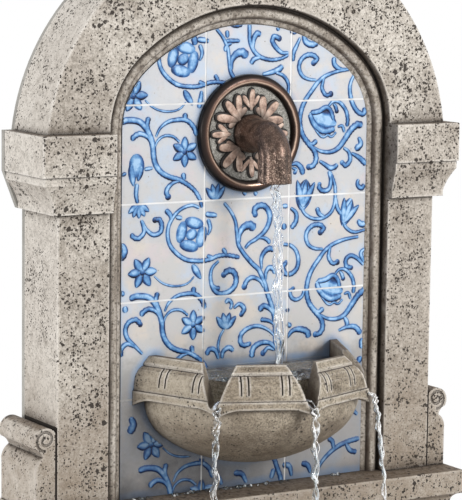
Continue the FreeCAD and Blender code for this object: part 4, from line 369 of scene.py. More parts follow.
def bronze_dish():
    """The medallion: sanded grey field, and a ring with patina and painted shade on its dark flanks and a
    rubbed copper crest with a painted highlight.
    """
    ring_inner, ring_outer, field_edge, field_end = 0.0485, 0.0612, 0.0492, 0.0484
    f = Finish("bronze_ring", Specular_IOR_Level=0.5)
    radius = f.from_medallion()
    wear = f.noise(90, 5, 0.65)
    ragged = f.math("ADD", radius, f.span(wear, 0.2, 0.8, -0.0004, 0.0004))
    # Across the ring: patina with painted shade on the flanks, and a rubbed crest with a painted highlight
    ring = f.ramp(f.span(ragged, ring_inner, ring_outer),
                  {0.0: BRONZE_SHADOW, 0.18: (58, 44, 38), 0.32: (206, 178, 158), 0.46: (98, 72, 60),
                   0.70: (54, 40, 35), 1.0: (24, 18, 16)})
    sand = f.noise(700, 3, 0.75)
    field = f.ramp(sand, {0.32: (92, 90, 84), 0.5: (152, 149, 142), 0.68: (206, 203, 196)})
    inside = f.span(radius, field_edge, field_end)
    f.colour = f.mix(inside, ring, field)
    f.coat(BRONZE_SHADOW, f.hollow(0.008, 0.9, 0.35), 0.85)
    heights = [(f.product(sand, inside), 0.8, 0.0012), (wear, 0.12, 0.0006)]
    return f.finish(f.spread(wear, 0.26, 0.42), heights, metallic=f.span(inside, 0.0, 1.0, 0.6, 0.15))


def bronze_leaf():
    """Rubbed copper leaves, greyer at their roots, with a painted shadow line and a dark rim round each lobe.
    """
    f = Finish("bronze_leaf")
    wear = f.noise(140, 5, 0.65)
    f.colour = f.ramp(wear, {0.32: (112, 90, 80), 0.5: (180, 152, 136), 0.68: (220, 199, 184)})
    f.coat((92, 82, 75), f.span(f.from_medallion(), 0.031, 0.022, 0.0, 0.8))
    # Painted shadow lines under the lobes, and their dark rims
    f.coat((22, 16, 14), f.span(f.tone(), 0.45, 0.8))
    f.coat((20, 15, 13), f.hollow(0.0045, 0.84, 0.45), 0.97)
    return f.finish(f.spread(wear, 0.42, 0.6), [(wear, 0.2, 0.0006)], metallic=0.25)


def bronze_spout():
    """Dark patina broken by copper flecks, more of them on the falling leg, where they also give a painted
    sheen.
    """
    f = Finish("bronze_spout", (56, 43, 37))
    fleck = f.span(f.noise(680, 4, 0.75), 0.49, 0.62)
    cloud = f.span(f.noise(60, 4, 0.6), 0.35, 0.65)
    leg = f.rise(MEDALLION_Z - 0.002, MEDALLION_Z - 0.03)
    f.coat((104, 82, 71), cloud)
    # Flecks on the leg, also a painted sheen
    shine = f.product(f.span(cloud, 0.0, 1.0, 0.35, 0.8), f.span(leg, 0.0, 1.0, 0.3, 1.0))
    f.coat((222, 196, 178), fleck, shine)
    f.coat((30, 23, 20), f.hollow(0.006, 0.94, 0.6), 0.85)
    return f.finish(f.span(fleck, 0.0, 1.0, 0.28, 0.4), [(fleck, 0.18, 0.0004)], metallic=0.6)


def cement_board():
    f = Finish("cement_board")
    cloud = f.noise(22, 5, 0.6)
    grit = f.noise(500, 3, 0.7)
    f.colour = f.ramp(cloud, {0.3: (148, 145, 139), 0.7: (184, 181, 174)})
    f.coat((112, 109, 104), f.span(grit, 0.55, 0.68, 0.0, 0.6))
    return f.finish(f.spread(cloud, 0.82, 0.94), [(grit, 0.35, 0.0006)])


def moulded(name, dark, light, rough, mottling=60):
    """Moulded plastic or rubber: faint flow marks, a fine spark texture and dulled patches."""
    f = Finish(name, dark)
    flow = f.noise(mottling, 4, 0.6)
    f.coat(light, f.spread(flow))
    f.coat((150, 148, 144), f.span(f.noise(150, 5, 0.75), 0.6, 0.74, 0.0, 0.3))
    return f.finish(f.spread(flow, rough, rough + 0.14), [(f.noise(900, 2, 0.6), 0.2, 0.0003)])


def steel():
    f = Finish("stainless_steel", Metallic=1.0)
    brushed = f.noise(260, 4, 0.6, f.mapped(Scale=(1.0, 0.1, 1.0)))
    f.colour = f.ramp(brushed, {0.3: (150, 150, 150), 0.7: (206, 205, 202)})
    f.coat((116, 104, 92), f.span(f.noise(80, 5, 0.7), 0.58, 0.74, 0.0, 0.6))
    return f.finish(f.spread(brushed, 0.24, 0.4), [(brushed, 0.1, 0.0003)])


def water(name, white_from, white_to):
    """Clear water, broken by white streaks of froth that also stand as painted highlights, where the noise
    rises between the two given levels.
    """
    tinted, clear = (0.86, 0.92, 0.95, 1), (1.0, 1.0, 1.0, 1)
    f = Finish(name, IOR=1.33)
    ripple = f.noise(90, 3, 0.5, f.mapped(Scale=(1.0, 1.0, 0.35)))
    f.colour = f.mix(f.span(ripple, 0.35, 0.65), tinted, clear)
    # White froth, standing also as painted highlights
    air_and_highlight = f.span(f.noise(230, 3, 0.6, f.mapped(Scale=(1.0, 1.0, 0.5))), white_from, white_to)
    f.feed(f.shader.inputs["Transmission Weight"], f.span(air_and_highlight, 0.0, 1.0, 0.98, 0.25))
    return f.finish(f.spread(ripple, 0.02, 0.07), [(ripple, 0.35, 0.004)])


PAINT = paint()
LEAF = bronze_leaf()
SPOUT = bronze_spout()
STREAM = water("falling_water", white_from=0.56, white_to=0.66)
POOL = water("still_water", white_from=0.70, white_to=0.80)
SLOT_FINISH = {
    "stone_body": stone("cast_stone", (201, 192, 182), (228, 221, 212), (166, 155, 143),
                        pits=1.0, damp=0.0, sand=0.6),
    "stone_bowl": stone("bowl_stone", (152, 139, 121), (202, 191, 173), (84, 70, 54),
                        pits=0.66, damp=0.45, sand=0.95),
    "stone_basin": stone("basin_stone", (172, 160, 144), (204, 193, 177), (124, 108, 90),
                         pits=0.9, damp=0.35, sand=0.6),
    "stone_frame": frame_stone(),
    "backer": cement_board(),
    "tile_glaze": glaze(),
    "grout": grout(),
    "bronze_ring": bronze_dish(),
    "bronze_leaf": LEAF,
    "bronze_spout": SPOUT,
    "steel": steel(),
    "rubber_black": moulded("black_rubber", (24, 24, 25), (44, 43, 43), 0.7),
    "hose_vinyl": moulded("black_vinyl", (30, 30, 32), (52, 52, 54), 0.32, mottling=35),
    "pump_plastic": moulded("pump_plastic", (26, 27, 30), (46, 47, 50), 0.42),
    "dial_plastic": moulded("dial_plastic", (30, 74, 150), (52, 100, 178), 0.3),
    "impeller_plastic": moulded("impeller_plastic", (196, 196, 190), (220, 220, 214), 0.32),
    "shaft_ceramic": moulded("shaft_ceramic", (226, 226, 220), (240, 240, 236), 0.2),
    "magnet": moulded("magnet", (48, 48, 50), (84, 84, 86), 0.4),
    "door_panel": moulded("door_panel", (128, 116, 102), (156, 144, 128), 0.6),
}
for part in frame["record"]["subparts"]:
    for slot in nodes[part["node"]].material_slots:
        slot.material = SLOT_FINISH[part["material_slot"]]


# Meshes


def add_piece(name, mesh, material):
    """Link a mesh to the scene as a smooth piece of one material."""
    mesh.polygons.foreach_set("use_smooth", [True] * len(mesh.polygons))
    mesh.materials.append(material)
    piece = bpy.data.objects.new(name, mesh)
    bpy.context.scene.collection.objects.link(piece)
    return piece


def skin(name, vertices, faces):
    mesh = bpy.data.meshes.new(name)
    mesh.from_pydata(vertices, [], faces)
    return mesh


def aim(degrees):
    """Unit vector at an angle in the face's own plane."""
    return Vector((math.cos(math.radians(degrees)), math.sin(math.radians(degrees))))


# Raised shapes on an upright face


def smooth_line(points, step):
    """Points at equal steps along a Catmull-Rom curve through the given points, and its length."""
    corners = [Vector(point) for point in points]
    corners = [corners[0] * 2 - corners[1]] + corners + [corners[-1] * 2 - corners[-2]]
    pieces = 16
    dense = []
    for before, start, end, after in zip(corners, corners[1:], corners[2:], corners[3:]):
        for index in range(pieces):
            t = index / pieces
            bend = 2 * before - 5 * start + 4 * end - after
            twist = 3 * start - before - 3 * end + after
            dense.append(0.5 * (2 * start + (end - before) * t + bend * t ** 2 + twist * t ** 3))
    dense.append(corners[-2])
    lengths = [0.0]
    for first, second in zip(dense, dense[1:]):
        lengths.append(lengths[-1] + (second - first).length)
    count = max(4, int(lengths[-1] / step))
    line, at = [], 0
    for index in range(count + 1):
        target = lengths[-1] * index / count
        while at < len(dense) - 2 and lengths[at + 1] < target:
            at += 1
        gap = max(lengths[at + 1] - lengths[at], 1e-9)
        line.append(dense[at].lerp(dense[at + 1], (target - lengths[at]) / gap))
    return line, lengths[-1]


class Relief:
    """Domed strokes, petals and buttons on an upright face, gathered in one mesh. In millimetres."""

    ACROSS = (-1.0, -0.93, -0.75, -0.38, 0.0, 0.38, 0.75, 0.93, 1.0)
    SHADE = Vector((0.5, -0.86))
    BRUSH = 1.18
    SUNK = 0.12
    FULL_DOME = 1.6

    def __init__(self, origin, relief, step, crown):
        self.origin = origin
        self.relief = relief
        self.step = step
        self.crown = crown
        self.vertices, self.faces, self.tones = [], [], []

    def point(self, flat, height, tone):
        x, y, z = self.origin
        self.vertices.append((x + flat[0] * MM, y - height * MM, z + flat[1] * MM))
        self.tones.append(tone)
        return len(self.vertices) - 1

    def shading(self, across, side):
        """Painted shade towards a shape's lower right, and painted light towards its upper left."""
        turned = across * (side @ self.SHADE)
        return 0.5 * turned ** 0.8 if turned > 0 else 0.14 * turned

    @staticmethod
    def outline(across):
        """0 over the middle of a shape, rising to 1 near its edge."""
        share = min(1.0, max(0.0, (abs(across) - 0.34) / 0.46))
        return share * share * (3 - 2 * share)

    def ribbon(self, points, width_at, tone_at, lift=1.0):
        """A domed band along a line. width_at takes the share of the line and the line's length."""
        line, length = smooth_line(points, self.step)
        rows = []
        for index, middle in enumerate(line):
            ahead, behind = line[min(index + 1, len(line) - 1)], line[max(index - 1, 0)]
            along = (ahead - behind).normalized()
            side = Vector((-along[1], along[0]))
            share = index / (len(line) - 1)
            half = max(width_at(share, length), 0.02) / 2
            dome = self.relief * lift * min(1.0, half / self.FULL_DOME)
            row = []
            for across in self.ACROSS:
                height = dome * (1 - abs(across) ** self.crown) ** (1 / self.crown) - self.SUNK
                row.append(self.point(middle + side * across * half, height, tone_at(share, across, side)))
            rows.append(row)
        for low, high in zip(rows, rows[1:]):
            for index in range(len(self.ACROSS) - 1):
                self.faces.append((low[index], high[index], high[index + 1], low[index + 1]))

    def blade(self, foot, tip, width_at, tone_at, lift=1.0):
        """A straight band from foot to tip."""
        self.ribbon([foot, (Vector(foot) + Vector(tip)) / 2, tip], width_at, tone_at, lift)

    def stroke(self, points, widths, bulb=0.0):
        """A brush stroke between two widths, round at both ends, that may end in a button."""
        first, last = widths

        def width_at(share, length):
            begun, left = share * length, (1 - share) * length
            full = (first + (last - first) * share + 0.8 * math.sin(math.pi * share)) * self.BRUSH
            full *= 1 + 0.16 * share ** 2 * math.sin(1.5 * begun)
            nearest = min(begun, left, full / 2) / (full / 2)
            return full * math.sqrt(1 - (1 - nearest) ** 2)

        def tone_at(share, across, side):
            return 0.16 + self.shading(across, side) + 0.44 * self.outline(across) + 0.16 * share ** 3

        self.ribbon(points, width_at, tone_at)
        if bulb:
            self.button(points[-1], bulb * self.BRUSH, 0.25)

    def petal(self, foot, tip, width):
        """A petal, fullest beyond its middle and outlined darker."""
        def width_at(share, length):
            return width * math.sin(math.pi * min(1.0, share ** 0.8)) ** 0.7

        def tone_at(share, across, side):
            return 0.14 + 0.44 * self.outline(across) + self.shading(across, side) + 0.34 * share ** 4

        self.blade(foot, tip, width_at, tone_at)

    def pad(self, foot, tip, width):
        """A pale oval with a thin rim, navy on its shaded side."""
        def width_at(share, length):
            return width * math.sqrt(max(0.0, 1 - (2 * share - 1) ** 2))

        def tone_at(share, across, side):
            rim = self.outline(max(abs(across), abs(2 * share - 1)))
            return 0.42 * rim + 0.6 * self.shading(across, side)

        self.blade(foot, tip, width_at, tone_at)

    def lobe(self, foot, tip, width, lift, dark=False):
        """A blunt lobe with a narrower foot and a dark rim. A dark one is a painted shadow line under it."""
        belly, end_from = 0.66, 0.75

        def width_at(share, length):
            if share < belly:
                return width * (0.45 + 0.55 * math.sin(math.pi / 2 * share / belly))
            return width * math.sqrt(max(0.0, 1 - ((share - belly) / (1 - belly)) ** 2))

        def tone_at(share, across, side):
            rib = 0.55 if abs(across) < 0.1 and share < 0.6 else 0.0
            end = ((share - end_from) / (1 - end_from)) ** 4 if share > end_from else 0.0
            return 1.0 if dark else max(abs(across) ** 6, end, rib)

        self.blade(foot, tip, width_at, tone_at, lift)

    def wash(self, foot, tip, width):
        """A pale filled shape with a thin dark edge, lower than the strokes drawn over it."""
        def width_at(share, length):
            return width * math.sin(math.pi * share) ** 0.6

        def tone_at(share, across, side):
            return 0.16 * math.sin(9 * share) ** 2 + 0.6 * self.outline(across)

        self.blade(foot, tip, width_at, tone_at, 0.55)

    def button(self, centre, radius, darker=0.0):
        """A round domed dot, shaded on its lower right."""
        sides, rings, middle_tone = 14, 4, 0.35 + darker
        hub = self.point(Vector(centre), self.relief, middle_tone)
        before = None
        for ring in range(1, rings + 1):
            share = ring / rings
            height = self.relief * math.sqrt(max(0.0, 1 - share ** 2)) - self.SUNK
            now = []
            for index in range(sides):
                out = aim(360 * index / sides)
                tone = middle_tone + 0.4 * share * (out @ self.SHADE) + 0.15 * share ** 3
                now.append(self.point(Vector(centre) + out * radius * share, height, tone))
            for index in range(sides):
                following = (index + 1) % sides
                if before is None:
                    self.faces.append((hub, now[index], now[following]))
                else:
                    self.faces.append((before[index], now[index], now[following], before[following]))
            before = now

    def daisy(self, centre, radius, turn):
        petals = 6
        for index in range(petals):
            out = aim(turn + 360 / petals * index) * radius
            self.petal(Vector(centre) + out * 0.16, Vector(centre) + out, radius * 0.58)
        self.button(centre, radius * 0.2, 0.12)

    def rosette(self, centre, turn):
        """Four oval petals round a small heart, each lying across its own direction."""
        petal_out, petal_half, petal_width, heart_half, heart_width = 12, 11.5, 12.5, 7, 12
        for index in range(4):
            out = aim(turn + 90 * index)
            across = Vector((-out[1], out[0])) * petal_half
            middle = Vector(centre) + out * petal_out
            self.pad(middle - across, middle + across, petal_width)
        up = aim(turn + 45) * heart_half
        self.pad(Vector(centre) - up, Vector(centre) + up, heart_width)

    def fan(self, foot, radius, direction, spread, count, width):
        """Petals that open from one point, for tulips, palmettes and shells."""
        for index in range(count):
            turn = direction + spread * (index / (count - 1) - 0.5)
            self.petal(foot, Vector(foot) + aim(turn) * radius, width)

    def build(self, name, material):
        mesh = skin(name, self.vertices, self.faces)
        tone = mesh.attributes.new("tone", "FLOAT", "POINT")
        tone.data.foreach_set("value", self.tones)
        return add_piece(name, mesh, material)


# Blue scrollwork on the tiles: points (x across, height above the ledge), widths and a button if any

REPEAT_STEP = Vector((12, -179))
REPEATED = [
    ([(-69, 475), (-78, 478), (-90, 475), (-99, 468), (-105, 458), (-106, 448), (-103, 438), (-95, 429),
      (-83, 422), (-68, 420), (-56, 421), (-46, 424), (-34, 424), (-20, 421)], (3, 4)),
    ([(-109, 475), (-103, 469), (-102, 463)], (5, 3)),
    ([(-97, 467), (-89, 465)], (4, 3)),
    ([(-62, 468), (-54, 467), (-48, 466)], (5, 4)),
    ([(-59, 463), (-56, 454), (-59, 446)], (4, 2)),
    ([(-60, 425), (-52, 422)], (4, 3)),
    ([(-41, 432), (-36, 425)], (4, 3)),
    ([(-122, 408), (-112, 400), (-100, 396), (-88, 396), (-80, 399), (-74, 405)], (1.4, 1.4)),
    ([(-150, 386), (-140, 388), (-128, 386), (-120, 379), (-115, 370), (-112, 360), (-111, 350),
      (-108, 341),
      (-102, 334), (-93, 329), (-82, 326), (-72, 321), (-63, 314), (-57, 305), (-54, 296)], (6, 3.5)),
    ([(-115, 372), (-119, 382), (-117, 391)], (3, 5)),
    ([(-112, 360), (-118, 370), (-127, 374), (-134, 371), (-136, 367)], (2, 5.5)),
    ([(-109, 370), (-104, 379), (-95, 385), (-83, 387), (-73, 386), (-65, 379), (-61, 370)], (2, 5)),
    ([(-75, 386), (-75, 394)], (4, 5)),
    ([(-111, 356), (-107, 366), (-99, 371), (-89, 370), (-81, 364)], (1.6, 2.4)),
    ([(-80, 325), (-90, 322), (-96, 315), (-94, 309)], (2, 5), 3.2),
    ([(-75, 325), (-77, 333)], (3, 5)),
    ([(-40, 479), (-32, 470), (-26, 459), (-24, 447), (-22, 435), (-17, 427), (-11, 420), (-4, 413),
      (3, 407),
      (7, 400), (11, 391), (14, 382), (18, 372), (22, 361), (24, 349), (25, 334), (26, 319)], (3, 5)),
    ([(-21, 436), (-21, 445), (-16, 452), (-8, 454), (-2, 449)], (3, 9)),
    ([(83, 424), (73, 425), (65, 429), (61, 437), (63, 445), (70, 450), (78, 450), (83, 446), (79, 442)],
     (2.5, 5), 3),
    ([(128, 435), (118, 434), (106, 432), (94, 428), (85, 422), (78, 414), (70, 404), (65, 394), (63, 384),
      (64, 374), (68, 365), (75, 357), (82, 349), (84, 340), (80, 334), (75, 333)], (3, 5.5), 3),
    ([(93, 430), (91, 423), (90, 415), (95, 408), (101, 409)], (2.5, 4), 3),
    ([(75, 389), (80, 379), (88, 372), (97, 370), (107, 373)], (5, 6)),
    ([(76, 390), (86, 391), (96, 395), (102, 390), (105, 381)], (5, 4)),
    ([(80, 375), (88, 366), (93, 364), (98, 366), (103, 364), (109, 369)], (1.5, 2)),
    ([(98, 396), (104, 401), (112, 400), (120, 392), (123, 382), (122, 374)], (2.5, 4)),
    ([(104, 399), (107, 396), (109, 391)], (2, 4), 2.4),
    ([(110, 374), (116, 375), (119, 368)], (2, 3)),
    ([(80, 354), (90, 349), (102, 348), (112, 352), (120, 361), (128, 371), (136, 376), (142, 374)],
     (2.5, 7)),
    ([(74, 359), (79, 357), (85, 361)], (2.5, 5)),
]
REPEATED_DAISIES = [((-135, 412), 17, 3), ((-75, 354), 16, 30)]
REPEATED_ROSETTE = (-78, 448)
REPEATED_BUD = ((-77, 417), (-66, 401))
# Left edge, repeated once
EDGE = [
    ([(-125, 287), (-122, 279), (-122, 273), (-128, 268), (-134, 270), (-136, 274)], (3, 4.5)),
    ([(-124, 286), (-119, 277), (-111, 271), (-103, 273), (-101, 280), (-104, 286), (-109, 286)],
     (2.5, 5), 2.8),
    ([(-148, 264), (-144, 256), (-149, 247)], (5, 8)),
]
EDGE_FAN = (-128, 303)
# Upper half of the panel
UPPER = [
    ([(-71, 475), (-66, 470), (-64, 462)], (5, 6)),
    ([(-27, 477), (-26, 469)], (4, 3)),
    ([(-28, 466), (-20, 466), (-11, 466)], (4, 3)),
    ([(-21, 464), (-27, 461), (-29, 455)], (3, 4)),
    ([(-24, 484), (-16, 482), (-8, 484)], (4, 5)),
    ([(0, 484), (0, 475), (1, 465), (6, 455), (14, 449), (26, 446), (38, 447), (48, 451)], (4, 3)),
    ([(14, 449), (6, 447), (2, 442)], (3, 5)),
    ([(4, 457), (5, 467), (9, 473), (14, 472)], (3, 6)),
    ([(48, 453), (40, 453), (33, 458), (28, 465), (30, 470), (36, 468)], (3, 5), 3),
    ([(62, 469), (58, 461), (54, 453), (53, 444)], (2.5, 4.5)),
    ([(66, 472), (69, 464), (77, 461), (84, 464)], (5, 6)),
    ([(49, 476), (58, 474)], (5, 4)),
    ([(33, 480), (36, 476)], (3, 4)),
    ([(16, 431), (27, 433), (36, 436), (41, 440)], (3, 6)),
    ([(32, 433), (42, 429), (48, 421), (48, 410)], (3, 3)),
    ([(-56, 416), (-57, 408), (-59, 398)], (3, 5)),
    ([(104, 448), (105, 440), (112, 435), (121, 434)], (5, 3)),
    ([(131, 430), (126, 421), (125, 412), (128, 400), (135, 390), (143, 387), (144, 394)], (3, 5)),
    ([(137, 363), (140, 355), (133, 349)], (3, 7)),
    ([(118, 352), (125, 347), (127, 339), (122, 333), (117, 336)], (2.5, 5), 2.6),
    ([(128, 346), (138, 341), (148, 333)], (2.5, 6)),
    ([(53, 336), (60, 337), (66, 332), (68, 325)], (3, 6)),
    ([(54, 333), (59, 331), (58, 328)], (2, 3), 2.2),
    ([(66, 291), (72, 283), (82, 278), (93, 278), (103, 283), (108, 292), (109, 303), (108, 313),
      (104, 323),
      (100, 328)], (3, 3)),
    ([(96, 279), (89, 283), (86, 290)], (2.5, 5)),
    ([(109, 300), (112, 288), (117, 281)], (3, 4)),
    ([(88, 339), (95, 335), (102, 331), (108, 332), (111, 335)], (3, 5)),
    ([(100, 328), (103, 318), (101, 309), (94, 307), (89, 310), (89, 314)], (3, 5), 2.4),
    ([(118, 275), (124, 266), (134, 261), (148, 263)], (3, 2.5)),
    ([(138, 274), (143, 269), (149, 270)], (4, 6)),
    ([(138, 318), (137, 312), (142, 308), (146, 312)], (3, 5)),
    ([(-150, 332), (-142, 335)], (2, 3)),
    ([(-122, 338), (-112, 339)], (3, 2.5)),
    ([(-130, 324), (-131, 313), (-129, 303)], (4, 3)),
    ([(-6, 311), (-1, 307)], (3, 4)),
    ([(8, 310), (12, 306)], (3, 4)),
]
# Lower half of the panel
LOWER = [
    ([(-2, 251), (3, 256), (11, 260), (20, 266), (26, 274), (28, 284), (23, 293), (15, 295), (9, 291),
      (10, 286)],
     (3, 6), 3),
    ([(14, 261), (20, 261), (26, 258), (28, 254)], (2, 4)),
    ([(19, 228), (18, 238), (21, 245), (27, 249), (34, 248)], (2, 6)),
    ([(24, 216), (24, 224), (28, 229), (34, 227), (35, 222)], (2, 6)),
    ([(22, 208), (17, 216), (8, 220), (1, 217), (-2, 211)], (2, 5), 3.2),
    ([(-33, 240), (-41, 233), (-43, 223), (-40, 212), (-33, 206), (-23, 206), (-15, 211), (-12, 219),
      (-15, 227),
      (-22, 229), (-27, 225)], (2.5, 6), 3),
    ([(-41, 216), (-37, 212), (-31, 211)], (2, 4.5)),
    ([(-26, 168), (-31, 160), (-33, 150), (-31, 143)], (2, 2)),
    ([(-19, 188), (-17, 194), (-21, 198), (-25, 195)], (2.5, 4)),
    ([(-15, 189), (-8, 193), (-2, 188), (-5, 182)], (2.5, 5), 2.6),
    ([(-32, 137), (-36, 146), (-43, 148), (-47, 142)], (3, 5)),
    ([(-28, 137), (-27, 144), (-20, 148), (-14, 144)], (3, 5)),
    ([(35, 178), (30, 185), (22, 189), (16, 184)], (2, 6.5)),
    ([(36, 168), (28, 173), (18, 175)], (2, 4.5)),
    ([(37, 155), (28, 163), (16, 168), (4, 167), (-5, 161), (-6, 153), (-2, 149), (5, 150)], (2, 5), 2.4),
    ([(37, 143), (30, 149), (19, 150), (10, 145), (8, 135)], (3, 6)),
    ([(36, 141), (28, 144), (22, 139)], (2, 4), 3),
    ([(42, 293), (50, 293)], (3, 4)),
    ([(53, 291), (60, 285), (60, 276), (54, 269)], (3, 5)),
    ([(45, 275), (46, 268)], (5, 5)),
    ([(44, 253), (54, 251), (61, 245), (64, 235), (62, 226), (55, 221), (48, 222), (45, 229), (49, 233)],
     (3, 5), 2.6),
    ([(72, 204), (69, 196), (62, 193), (56, 196), (54, 202), (58, 205)], (2.5, 4), 2.2),
    ([(123, 171), (127, 164), (126, 160)], (3, 5)),
    ([(116, 156), (127, 159), (138, 158), (145, 150)], (2.5, 6)),
    ([(51, 153), (58, 160), (67, 161), (76, 158), (79, 151)], (3, 7)),
    ([(50, 168), (57, 165)], (4, 4)),
    ([(51, 185), (52, 180)], (4, 3)),
    ([(149, 243), (143, 238), (147, 228)], (3, 4)),
    ([(147, 225), (138, 233), (130, 236), (124, 232), (125, 225), (131, 223)], (3, 4.5), 2.4),
    ([(146, 146), (147, 134)], (5, 6)),
    ([(-122, 149), (-131, 158), (-140, 167), (-142, 176), (-138, 183), (-130, 185), (-125, 180)],
     (2.5, 5), 2.6),
    ([(-131, 157), (-140, 161), (-147, 156), (-147, 148)], (2.5, 5.5)),
    ([(-143, 200), (-142, 193)], (5, 5)),
    ([(-150, 214), (-143, 212)], (4, 4)),
]
# Along the ledge, under the bowl
LOWEST = [
    ([(92, 6), (100, 17), (113, 27), (128, 33), (146, 36)], (3, 5)),
    ([(113, 27), (111, 36), (105, 40)], (3, 5)),
    ([(128, 33), (134, 24), (143, 21)], (3, 5)),
    ([(84, 4), (80, 13), (72, 16)], (3, 6)),
    ([(60, 3), (57, 14), (48, 17)], (3, 6)),
    ([(34, 3), (38, 14)], (4, 5)),
    ([(4, 2), (-2, 12), (-12, 14)], (3, 6)),
    ([(-26, 3), (-32, 14)], (3, 5)),
    ([(143, 62), (136, 70), (137, 82), (146, 88)], (3, 6)),
    ([(147, 108), (141, 116), (146, 126)], (3, 6)),
]


def inside_panel(x, h):
    """Whether a point lies on the tiles: below the spring of the arch, or under its haunch and crown arcs."""
    half, foot, spring = 146.8, 0.5, 377.0
    haunch_x, haunch_radius, haunch_end = 67.5, 79.3, 47.9
    crown_h, crown_radius = 302.4, 179.9
    across = abs(x)
    if h < spring:
        return across < half and h > foot
    if across > haunch_x and math.degrees(math.atan2(h - spring, across - haunch_x)) < haunch_end:
        return math.hypot(across - haunch_x, h - spring) < haunch_radius
    return math.hypot(across, h - crown_h) < crown_radius


def behind_bowl(x, h):
    """Whether the bowl and its water cover a point of the wall: an upright rim over a rounded belly."""
    water_line, rim_half, rim_foot, belly_half, belly_depth = 128.0, 133.0, 93.0, 126.0, 65.0
    if h > rim_foot:
        return h < water_line and abs(x) < rim_half
    return (x / belly_half) ** 2 + ((rim_foot - h) / belly_depth) ** 2 < 1


def cut_at_joints(piece):
    """Part the brushwork at the tile joints. Drop what runs off the tiles or under bronze and water."""
    joints = [("x", -51.25), ("x", 51.25), ("h", 103.0), ("h", 203.0), ("h", 303.0), ("h", 403.0)]
    half_joint, medallion_h, medallion_edge = 1.0, 371.0, 60.3
    work = bmesh.new()
    work.from_mesh(piece.data)
    for axis, at in joints:
        normal = (1, 0, 0) if axis == "x" else (0, 0, 1)
        for edge in (at - half_joint, at + half_joint):
            spot = (edge * MM, 0, 0) if axis == "x" else (0, 0, LEDGE + edge * MM)
            everything = work.verts[:] + work.edges[:] + work.faces[:]
            bmesh.ops.bisect_plane(work, geom=everything, plane_co=spot, plane_no=normal)
    gone = []
    for face in work.faces:
        middle = face.calc_center_median()
        x, h = middle.x / MM, (middle.z - LEDGE) / MM
        in_joint = any(abs((x if axis == "x" else h) - at) < half_joint for axis, at in joints)
        under = math.hypot(x, h - medallion_h) < medallion_edge or behind_bowl(x, h)
        if in_joint or under or not inside_panel(x, h):
            gone.append(face)
    bmesh.ops.delete(work, geom=gone, context="FACES")
    work.to_mesh(piece.data)
    work.free()


def draw_strokes(art, strokes, shift=Vector((0, 0))):
    for points, widths, *bulb in strokes:
        art.stroke([Vector(point) + shift for point in points], widths, *bulb)


def build_scrollwork():
    art = Relief((0, TILE_FACE, LEDGE), relief=1.1, step=1.0, crown=2.8)
    for bell in ((74, 389), (86, 210)):
        art.wash(bell, Vector(bell) + Vector((35, -12)), 21)
    shifts = [REPEAT_STEP * row for row in range(3)]
    for shift in shifts:
        # In the lowest row the strokes along the ledge take the place of the right half
        shown = [stroke for stroke in REPEATED if shift != shifts[-1] or stroke[0][0][0] <= 0]
        draw_strokes(art, shown, shift)
        for centre, radius, turn in REPEATED_DAISIES:
            art.daisy(Vector(centre) + shift, radius, turn)
        art.rosette(Vector(REPEATED_ROSETTE) + shift, -14)
        art.petal(Vector(REPEATED_BUD[0]) + shift, Vector(REPEATED_BUD[1]) + shift, 8)
    draw_strokes(art, UPPER + LOWER + LOWEST)
    for shift in shifts[:2]:
        draw_strokes(art, EDGE, shift)
        art.fan(Vector(EDGE_FAN) + shift, 15, -88, 110, 5, 7.5)
    # Tulips, palmettes and shells
    art.pad((-131, 354), (-130, 330), 18)
    art.petal((-137, 344), (-134, 321), 9)
    art.petal((-125, 342), (-129, 326), 8)
    art.fan((-38, 303), 18, 92, 80, 4, 8)
    art.wash((67, 287), (72, 320), 21)
    art.fan((68, 291), 30, 82, 44, 3, 9.5)
    art.wash((119, 268), (129, 298), 17)
    art.fan((120, 272), 27, 66, 46, 3, 8.5)
    art.fan((-24, 168), 18, 88, 84, 4, 8.5)
    piece = art.build("scrollwork", PAINT)
    cut_at_joints(piece)
    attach(piece, "fountain")


def build_leaves():
    """Acanthus leaves on the sunk field: four broad ones of five lobes, and narrow ones of three between."""
    field = MEDALLION[0][1] + 0.0055
    art = Relief((0, field, MEDALLION_Z), relief=3.6, step=1.0, crown=5.0)
    # Lobes of a leaf: lean in degrees, root from the axis, reach, width and lift
    broad = ((80, 22, 16, 7.0, 0.6), (-80, 22, 16, 7.0, 0.6), (44, 20, 28, 9.0, 0.8), (-44, 20, 28, 9.0, 0.8),
             (2, 20, 28, 10.0, 1.0))
    narrow = ((38, 26, 18, 5.5, 0.5), (-38, 26, 18, 5.5, 0.5), (0, 24, 24, 7.0, 0.65))
    shadow_line, shadow_lift, shadow_side = 3.2, 0.62, Vector((-0.9, 0.4))
    leaves = 8
    for index in range(leaves):
        turn = 90 + 360 / leaves * index
        for lean, root, reach, width, lift in (broad if index % 2 else narrow):
            heading = aim(turn + lean + draw.uniform(-7, 7))
            foot = aim(turn) * root
            tip = foot + heading * reach * draw.uniform(0.86, 1.0)
            width *= draw.uniform(0.88, 1.06)
            art.lobe(foot, tip, width, lift)
            art.lobe(foot + shadow_side, tip + heading * shadow_line / 3 + shadow_side, width + shadow_line,
                     lift * shadow_lift, True)
    piece = art.build("acanthus_carving", LEAF)
    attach(piece, "fountain")
    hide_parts("acanthus_leaves")


# Spout and water


def tube(name, rings, material):
    """A closed mesh skinned over rings of points."""
    count = len(rings[0])
    vertices = [tuple(point) for ring in rings for point in ring]
    faces = []
    for row in range(len(rings) - 1):
        low, high = row * count, (row + 1) * count
        for index in range(count):
            following = (index + 1) % count
            faces.append((low + index, low + following, high + following, high + index))
    faces.append(tuple(reversed(range(count))))
    faces.append(tuple(range(len(vertices) - count, len(vertices))))
    return add_piece(name, skin(name, vertices, faces), material)


